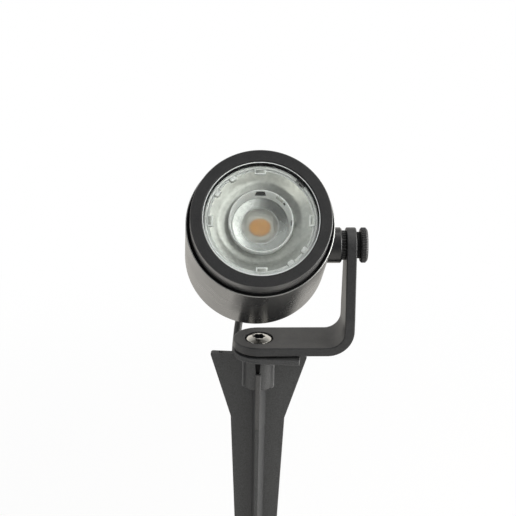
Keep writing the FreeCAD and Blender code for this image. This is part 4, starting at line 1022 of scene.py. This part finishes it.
def addClampScrew(c):
    # button head; socket radius = r + lobe cos 6a
    top = c["seat"] + c["headHeight"]
    radius = np.linspace(c["socket"] + c["crownFrom"], c["head"] - c["crownTo"], c["points"])
    crown = np.stack([radius, c["seat"] + c["rim"] + capHeight(radius, c["head"], c["headHeight"] - c["rim"])], 1)
    edge = rounded([tuple(crown[-2]), (c["head"], c["seat"] + c["rim"]), (c["head"], c["seat"]),
                    (c["shank"], c["seat"]), (c["shank"], c["tip"] + c["tipBevel"]),
                    (c["shank"] - c["tipBevel"], c["tip"]), (0, c["tip"])], c["rounding"], closed=False)
    floor, mouth = top - c["depth"], crown[0, 1]
    socket = [(0, floor), (c["socket"] * c["flat"], floor), (c["socket"] - c["foot"][0], floor + c["foot"][1]),
              (c["socket"], mouth - c["wallDrop"]), (c["socket"] + c["flare"][0], mouth - c["flare"][1])]
    grid = lathe(np.concatenate([socket, crown[:-1], edge[1:]]), c["steps"])
    share = np.zeros(grid.shape[1])
    share[1:len(socket)] = c["lobeShares"]
    grid = drawnIn(grid, -c["lobe"] * np.cos(6 * fullTurn(c["steps"]))[:, None] * share)
    # the socket's faces take the black finish: painted shade in the recess
    dark = (np.arange(grid.shape[1] - 1) < len(socket) - 1).astype(np.int32)
    addPiece("clampScrew", [surface(grid, finish=dark)], ["stainless", "sealRubber"], "clamp_screw",
             ["clamp_screw"], sharp=40.0)


swivel = dict(ring=(2.75, 8.2, 0.75, 1.77), rounding=0.15, steps=96)


def addSwivelWasher(w):
    addPiece("swivelWasher", [lathed(ringCorners(*w["ring"]), w["rounding"], w["steps"])], "sealRubber", "spike",
             ["swivel_washer"])


addStrap(strap)
addClampScrew(screw)
addSwivelWasher(swivel)
print("bracket ready")

# ground spike

# widths and rib hold rows of a height and the values there, straight between the rows; the rib's values are the
# half widths of its base and crest, and its reach
spike = dict(
    turn=-5.7, half=1.2, edge=0.3, edgeShare=0.4, edgePoints=5, topCorner=1.0, cornerPoints=7,
    widths=((-1.35, 18.7), (-28.1, 10.45), (-168.0, 4.2), (-200.0, 0.8)),
    heights=((-3.4, -28.1, 10), (-34, -168, 24), (-172, -200, 9)),
    ribTop=-7.7, ribStep=-31.0, ribGap=0.05, ribRoot=0.8, rootDepth=0.3, ribHigh=(2.4, 0.9, 6.35), crestEdge=0.16,
    ribPoints=(8, 20), crestShare=0.5, crestRound=(0.3, 0.25),
    rib=((-7.7, 2.4, 0.9, 6.0), (-168.0, 1.5, 0.45, 3.6), (-200.0, 0.5, 0.25, 1.6)), lean=0.7, shift=0.15,
    plateTop=0.75, plateLow=-1.36, plateRadius=9.85, plateEnd=16.0, plateCorner=0.5, seamCorner=0.01, plateEdge=0.3,
    plateSplit=(-0.35, -0.6), plateInset=0.02, toothPitch=1.0, toothDepth=0.13, perTooth=6, plateMiddle=(3.0, 0.0),
    bossRadius=5.7, bossTop=-1.0, bossLow=-14.7, bossEdge=0.5, foot=0.65, footWidth=0.45, footTop=-1.4, bossSteps=288,
    bossPoints=(20, 8, 12), wallGap=0.8, highlightFrom=0.3, highlightGap=0.1,
    slot=dict(top=-1.42, low=-7.7, halfTop=1.15, halfLow=0.7, depth=2.0, inset=0.4, reach=7.2, shade=0.8,
              rounding=(0.4, 0.4, 0.05, 0.05), edge=0.02, centre=(0, -5)),
    bore=3.25, boreLow=-11.0, boreTop=4.0, boreEdge=0.05,
    nubs=(-15.0, -14.2), nubRadius=0.28, nubHeight=0.4, nubLow=-1.8, nubRounding=(0, 0, 0.15, 0), nubSteps=16,
)


def atHeights(table, heights, column):
    # a value of the table at each height, straight between its rows
    rows = np.array(table)
    return np.interp(-heights, -rows[:, 0], rows[:, column])


def capped(grid, *middle):
    # both end rows of the grid close on the line through the middle
    first, last = grid[:, :1].copy(), grid[:, -1:].copy()
    first[..., :2], last[..., :2] = middle, middle
    return np.concatenate([first, grid, last], 1)


def makeBlade(g):
    # a flat bar with rounded edges: x = side (w - e (1 - cos t)), y = half - e (1 - sin t), w from the height
    top, corner = g["widths"][0][0], g["topCorner"]
    heights = np.concatenate([top - corner + corner * np.cos(np.linspace(0, np.pi / 2, g["cornerPoints"]))]
                             + [np.linspace(*stretch) for stretch in g["heights"]])
    drop = np.clip(corner - (top - heights), 0, corner)
    width = atHeights(g["widths"], heights, 1) - corner + np.sqrt(np.clip(corner ** 2 - drop ** 2, 0, None))
    edge = np.minimum(g["edge"], width * g["edgeShare"])
    t = np.linspace(0, np.pi / 2, g["edgePoints"])
    inset, depth = 1 - np.cos(t), 1 - np.sin(t)
    inset = np.concatenate([inset, inset[::-1], inset, inset[::-1]])[:, None]
    depth = np.concatenate([depth, depth[::-1], depth, depth[::-1]])[:, None]
    signX, signY = np.repeat([[1, -1, -1, 1], [1, 1, -1, -1]], len(t), axis=1)[..., None]
    x, y = signX * (width - edge * inset), signY * (g["half"] - edge * depth)
    return surface(capped(np.stack([x, y, np.broadcast_to(heights, x.shape)], -1), 0, 0))


def makeRib(g, side):
    # a wedge from the blade's middle to its crest; half widths and reach fall with the height, with a step
    (low, lowest, count), (above, below) = g["heights"][2], g["ribPoints"]
    heights = np.concatenate([np.linspace(g["ribTop"], g["ribStep"], above),
                              np.linspace(g["ribStep"] - g["ribGap"], g["heights"][1][1], below),
                              np.linspace(low, lowest + 0.1, count - 1)])
    high = heights >= g["ribStep"]
    base, crest, reach = [np.where(high, g["ribHigh"][k], atHeights(g["rib"], heights, k + 1)) for k in range(3)]
    root = g["ribRoot"] * np.ones_like(reach)
    e, (nearX, nearY) = np.minimum(g["crestEdge"], crest * g["crestShare"]), g["crestRound"]
    share = e / (reach - root)
    flank = crest + (base - crest) * share
    x = np.stack([-base, -flank, -crest + e * nearX, -crest + e, crest - e, crest - e * nearX, flank, base])
    if side < 0:  # the front rib's right flank leans out further
        x += g["shift"]
        x[6:] += g["lean"] * np.array([share, np.ones_like(share)])
    y = np.stack([root, reach - e, reach - e * nearY, reach, reach, reach - e * nearY, reach - e, root])
    grid = np.stack([x, side * y, np.broadcast_to(heights, x.shape)], -1)
    smooth = np.zeros((len(x), len(heights) + 1), np.int32)
    smooth[3, 1:above] = 1  # the crest's face above the step
    return surface(capped(grid, 0, side * (g["ribRoot"] + g["rootDepth"])), finish=smooth)


def makePlate(g):
    # a flat plate with a round left end, and a toothed one a little smaller over it
    corners = ringCorners(0, g["plateEnd"], -g["plateRadius"], g["plateRadius"])
    straight = rounded(corners, [g["seamCorner"], g["plateCorner"], g["plateCorner"], g["seamCorner"]])[4:12]
    steps = int(round(math.pi * g["plateRadius"] / g["toothPitch"])) * g["perTooth"]
    left = np.linspace(np.pi / 2, 3 * np.pi / 2, steps)
    cut = g["toothDepth"] * (0.5 - 0.5 * np.cos(np.arange(steps) * 2 * np.pi / g["perTooth"]))
    parts = []
    for radius, inset, low, high in ((g["plateRadius"] + 0 * cut, 0.0, g["plateLow"], g["plateSplit"][0]),
                                     (g["plateRadius"] - g["plateInset"] - cut, g["plateInset"],
                                      g["plateSplit"][1], g["plateTop"])):
        curve = np.stack([radius * np.cos(left), radius * np.sin(left)], 1)
        outline = np.concatenate([curve, straight - inset * np.sign(straight)])
        parts.append(surface(slab(outline, low, high, g["plateEdge"], g["plateMiddle"])))
    return parts


def makeBoss(g):
    # a round boss whose foot spreads where it meets the blade: push = foot exp(-((|y| - half) / width)^2)
    flatPoints, edgePoints, wallPoints = g["bossPoints"]
    radii = np.linspace(0, g["bossRadius"] - g["bossEdge"], flatPoints)[:-1]
    turn = np.linspace(0, np.pi / 2, edgePoints)
    arc = np.stack([g["bossRadius"] - g["bossEdge"] * (1 - np.sin(turn)),
                    g["bossLow"] + g["bossEdge"] * (1 - np.cos(turn))], 1)
    wall = np.stack([np.full(wallPoints, g["bossRadius"]),
                     np.linspace(g["bossLow"] + g["bossEdge"] + g["wallGap"], g["bossTop"], wallPoints)], 1)
    bottom = np.stack([radii, np.full(len(radii), g["bossLow"])], 1)
    grid = lathe(np.concatenate([bottom, arc, wall, [(0, g["bossTop"])]]), g["bossSteps"])
    angle = fullTurn(g["bossSteps"])[:, None]
    lean = np.concatenate([0 * radii, np.sin(turn), np.ones(len(wall) + 1)])
    sideways, down = np.cos(angle) * lean, -np.sqrt(1 - lean ** 2) + 0 * angle
    length = np.maximum(np.hypot(sideways, down), 1e-6)
    away = np.maximum(np.abs(grid[..., 1]) - g["half"], 0) / g["footWidth"]
    push = g["foot"] * np.exp(-away ** 2) * (grid[..., 2] < g["footTop"])
    grid[..., 0] += push * sideways / length
    grid[..., 2] += push * down / length
    # faces near the spread foot take the paler finish: a painted highlight along the fillet
    pale = (push > g["highlightFrom"] * g["foot"]) & (np.abs(grid[..., 1]) > g["half"] - g["highlightGap"])
    return surface(grid, finish=2 * (pale & np.roll(pale, -1, 0))[:, :-1].astype(np.int32))


def addSpike(g):
    finish = ["spikePlastic", "spikeSmooth", "spikeFootHighlight"]
    place = clockPlace(g["turn"])
    nub = ringCorners(0, g["nubRadius"], g["nubLow"], g["plateLow"] + g["nubHeight"])
    parts = makePlate(g) + [makeBoss(g), makeRib(g, -1), makeRib(g, 1)]
    parts += [lathed(nub, g["nubRounding"], g["nubSteps"], place=Matrix.Translation((x, 0, 0))) for x in g["nubs"]]
    joined = joinMeshes("UNION", buildMesh("blade", [makeBlade(g)], place, finish),
                        [buildMesh("part", [part], place, finish) for part in parts])
    s = g["slot"]
    outline = rounded([(-s["halfLow"], s["low"]), (s["halfLow"], s["low"]), (s["halfTop"], s["top"]),
                       (-s["halfTop"], s["top"])], s["rounding"])
    floor = g["bossRadius"] - s["depth"]
    cut, shade = [surface(slab(outline, start, end, s["edge"], s["centre"]),
                          place=Matrix.Rotation(math.radians(90), 4, "X"))
                  for start, end in ((floor + s["inset"], s["reach"]), (floor, g["bossRadius"] - s["shade"]))]
    bore = surface(slab(circle(g["bore"]), g["boreLow"], g["boreTop"], g["boreEdge"]))
    mesh = joinMeshes("DIFFERENCE", joined, [buildMesh("cut", [part], place, finish) for part in (cut, bore)])
    addObject("groundSpike", mesh, "spike", ["ground_spike"], sharp=30.0)
    # slotShade is a black block in the slot's floor: painted shade where the slot is only in shadow
    addPiece("slotShade", [shade], "sealRubber", "spike", [], place)


addSpike(spike)
print("spike ready")

# gland

gland = dict(
    body=((2.1, -18.6), (5.7, -18.6), (6.4, -18.15), (6.4, -15.6), (6.1, -15.4), (2.1, -15.4)), bodyRounding=0.1,
    bodyFlat=5.54, nut=((3.65, -18.65), (5.6, -18.65), (5.6, -22.8), (4.9, -24.4), (3.4, -25.6), (2.9, -26.0),
                        (1.57, -26.0), (1.57, -24.4), (3.3, -24.0), (3.65, -23.4)),
    nutRounding=(0.1, 0.2, 0.3, 0.5, 0.4, 0.2, 0.2, 0.1, 0.1, 0.1), nutFlat=5.2, nutFlatLow=-23.0, steps=144)


def addGland(g):
    # both pieces are turned from their corners and flattened to six sides
    body = lathed(g["body"], g["bodyRounding"], g["steps"], lambda grid: flattened(grid, g["bodyFlat"]), arc=3)
    addHeadPiece("glandBody", [body], "glandNylon", ["gland_body"])
    nut = lathed(g["nut"], g["nutRounding"], g["steps"], lambda grid: flattened(grid, g["nutFlat"], g["nutFlatLow"]))
    addHeadPiece("glandNut", [nut], "glandNylon", ["gland_nut"])


addGland(gland)
print("gland ready")

# cord, tie and connector

cordRoute = [
    (-0.0014, 0.02076, 0.02765), (-0.0019, 0.0296, 0.0210), (-0.0043, 0.0328, 0.0102), (-0.0070, 0.0300, -0.0030),
    (-0.0083, 0.0256, -0.0180), (-0.0073, 0.0229, -0.0380), (-0.0054, 0.0226, -0.0800), (-0.0047, 0.0216, -0.1240),
    (-0.0046, 0.0226, -0.1600), (-0.0040, 0.0230, -0.1806), (0.0010, 0.0266, -0.1910), (0.0096, 0.0324, -0.19775),
]
cord = dict(diameter=3.1, pitch=3.7, coilRadius=18.2, turns=6.625, startAngle=-45.0, coilZ=-197.75, lastRun=12.0,
            perTurn=16, straight=3.1, climb=0.5, smooth=10, roundness=6, merge=0.001)


def outwards(angle):
    return np.array([math.cos(angle), math.sin(angle), 0.0])


def coilPoints(c):
    # spirals in, climbs one layer in the half turn where it turns back, spirals out:
    # r = R - pitch turns / 4 + pitch |n - turns / 2|, z = z0 + pitch smoothstep
    first, spread = math.radians(c["startAngle"]), c["pitch"] * c["turns"] / 4
    heading = outwards(first + math.pi / 2)
    start = np.array(cordRoute[-1]) / mm + heading * c["lastRun"]
    centre = start + heading * c["straight"] - outwards(first) * (c["coilRadius"] + spread)
    turn = np.linspace(0, c["turns"], int(round(c["turns"] * c["perTurn"])) + 1)
    middle = c["turns"] / 2
    radius = c["coilRadius"] - spread + c["pitch"] * np.abs(turn - middle)
    radius = radius / math.cos(math.pi / c["perTurn"])  # a control point stands outside its curve
    rise = np.clip((turn - middle) / c["climb"] + 0.5, 0, 1)
    angle = first + 2 * np.pi * turn
    loop = np.stack([centre[0] + radius * np.cos(angle), centre[1] + radius * np.sin(angle),
                     c["coilZ"] + c["pitch"] * rise ** 2 * (3 - 2 * rise)], 1)
    leaving = outwards(angle[-1] + math.pi / 2)
    lastPoint = centre + outwards(angle[-1]) * (c["coilRadius"] + spread)
    lastPoint[2] = c["coilZ"] + c["pitch"]
    end = lastPoint + leaving * c["straight"]
    return np.concatenate([[start], loop[1:-1], [lastPoint, end]]) * mm, end, leaving, centre


def smoothCurve(name, points, smooth):
    data = bpy.data.curves.new(name, "CURVE")
    data.dimensions = "3D"
    data.resolution_u = smooth
    spline = data.splines.new("NURBS")
    spline.points.add(len(points) - 1)
    spline.points.foreach_set("co", np.concatenate([points, np.ones((len(points), 1))], 1).ravel())
    spline.order_u = 3
    spline.use_endpoint_u = True
    curve = bpy.data.objects.new(name, data)
    bpy.context.scene.collection.objects.link(curve)
    return curve


def addCord(c):
    coil, end, leaving, centre = coilPoints(c)
    line = smoothCurve("cordLine", np.concatenate([np.array(cordRoute), coil]), c["smooth"])
    path = [tuple(v.co) for v in evaluatedMesh(line).vertices]
    length = float(np.linalg.norm(np.diff(np.array(path), axis=0), axis=1).sum())
    line.data.bevel_depth = c["diameter"] / 2 * mm
    line.data.bevel_resolution = c["roundness"]
    line.data.use_fill_caps = True
    mesh = evaluatedMesh(line)
    bpy.data.objects.remove(line)
    cleanMesh(mesh, c["merge"])
    setFinish(mesh, "cordJacket")
    piece = addObject("supplyCord", mesh, None, ["supply_lead", "lead_coil"], sharp=60.0, even=False)
    print("cord length", round(length, 4), "from", len(path), "rings")
    return piece, path, end, leaving, centre


cableTie = dict(gap=0.25, under=0.05, thick=0.6, half=1.6, corner=1.2, cornerSteps=8, buckle=2.2,
                buckleCorner=0.4, buckleSunk=0.05, buckleHigh=1.4, buckleEdge=0.3)


def addTie(c, k, centre):
    # a flat band round all the turns; the loop is a rounded rectangle in the plane through the coil's axis
    middle, radius = c["coilRadius"], c["diameter"] / 2
    reach = c["pitch"] * c["turns"] / 4 + radius + k["gap"]
    low, high = c["coilZ"] - radius - k["under"], c["coilZ"] + c["pitch"] + radius + k["gap"]
    inner, outer = [rectangle(middle - reach - out, middle + reach + out, low - out, high + out, k["corner"] + out,
                              k["cornerSteps"]) for out in (0.0, k["thick"])]
    ring = [(inner, -k["half"]), (outer, -k["half"]), (outer, k["half"]), (inner, k["half"])]
    grid = np.stack([np.concatenate([np.full((len(loop), 1), x), loop], 1) for loop, x in ring], 1)
    over = high + k["thick"]
    box = slab(rectangle(-k["buckle"], k["buckle"], middle - k["buckle"], middle + k["buckle"], k["buckleCorner"]),
               over - k["buckleSunk"], over + k["buckleHigh"], k["buckleEdge"], (0.0, middle))
    return addPiece("coilTie", [surface(grid, True), surface(box)], "tieBand", "bracket",
                    ["lead_tie"], Matrix.Translation((centre[0], centre[1], 0)))


connector = dict(
    sleeve=dict(inner=0.3, root=2.25, end=7.5, wide=3.2, foot=2.3, flare=0.9, ribs=(1.6, 3.4, 5.2), groove=1.9,
                rib=(-0.05, 0.08, 0.62, 0.75), ribOut=0.08, rounding=0.12, steps=64),
    body=((0, 7.5), (4.2, 7.5), (4.9, 8.3), (4.9, 17.0), (4.3, 17.0), (4.3, 30.0), (3.4, 30.0), (3.4, 22.0),
          (0, 22.0)),
    bodyRounding=(0, 0.3, 0.3, 0.2, 0.1, 0.15, 0.15, 0.1, 0), bodySteps=96,
    seal=(4.3, 4.75, 17.1, 18.4), sealRounding=0.2, sealSteps=72,
    pin=(0, 0.6, 18.2, 28.0), pinRounding=(0, 0, 0.4, 0), pinSteps=24, pinY=1.5,
    ring=(4.4, 5.8, 18.6, 28.6), ringRounding=0.3,
    grips=18, grip=(2.2, 1.2), gripDepth=0.32, gripFrom=0.4, perGrip=10)


def sleeveCorners(s):
    # a cone that widens with x, with grooves between its ribs
    corners = [(s["inner"], 0.0), (s["root"], 0.0)]
    for start in s["ribs"]:
        outer = s["foot"] + s["flare"] * start / s["end"]
        radii = (outer, s["groove"], s["groove"], outer + s["ribOut"])
        corners += [(radius, start + along) for radius, along in zip(radii, s["rib"])]
    return corners + [(s["wide"], s["end"]), (s["inner"], s["end"])]


def addConnector(k, end, leaving):
    # turned pieces along the cord's last direction; the ring is drawn in by depth x groove(a)
    turn = Vector((1, 0, 0)).rotation_difference(Vector(leaving)).to_matrix().to_4x4()
    place = Matrix.Translation(Vector(end)) @ turn

    def add(name, surfaces, finish, node):
        return addPiece(name, surfaces, finish, "bracket", [node], place)

    def gripped(grid):
        groove = np.clip(k["grip"][0] * np.cos(k["grips"] * fullTurn(len(grid))) - k["grip"][1], 0, 1)[:, None]
        return alongX(drawnIn(grid, k["gripDepth"] * groove * (reachOf(grid) > k["ring"][1] - k["gripFrom"])))

    s = k["sleeve"]
    pin = lathed(ringCorners(*k["pin"]), k["pinRounding"], k["pinSteps"], alongX)
    pins = [dict(pin, points=pin["points"] + np.array([0, y, 0])) for y in (-k["pinY"], k["pinY"])]
    return [
        add("connectorSleeve", [lathed(sleeveCorners(s), s["rounding"], s["steps"], alongX, arc=3)], "sealRubber",
            "connector_sleeve"),
        add("connectorBody", [lathed(k["body"], k["bodyRounding"], k["bodySteps"], alongX)], "connectorPlastic",
            "connector_body"),
        add("connectorSeal", [lathed(ringCorners(*k["seal"]), k["sealRounding"], k["sealSteps"], alongX)],
            "sealRubber", "connector_seal"),
        add("connectorPins", pins, "platedPins", "connector_pins"),
        add("connectorRing", [lathed(ringCorners(*k["ring"]), k["ringRounding"], k["grips"] * k["perGrip"], gripped,
                                     arc=5)], "connectorPlastic", "connector_ring"),
    ]


supplyCord, cordPath, cordEnd, leaving, coilCentre = addCord(cord)
tie = addTie(cord, cableTie, coilCentre)
onCord = addConnector(connector, cordEnd, leaving)
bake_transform(supplyCord)
print("cord ready")

# finishes of the inner pieces that keep their own solids

innerFinishes = dict(
    led_board="circuitBoard", thermal_pad="softWhite", board_screws="stainless", heat_spreader="plainAluminium",
    led_wires="softWhite", driver_board="driverGreen", driver_parts="glandNylon", driver_posts="brass",
    driver_screws="stainless", gland_seal="sealRubber", gland_locknut="glandNylon", thread_insert="brass",
)
for node, key in innerFinishes.items():
    setFinish(nodes[node].data, key)
print("inner pieces dressed:", len(innerFinishes))
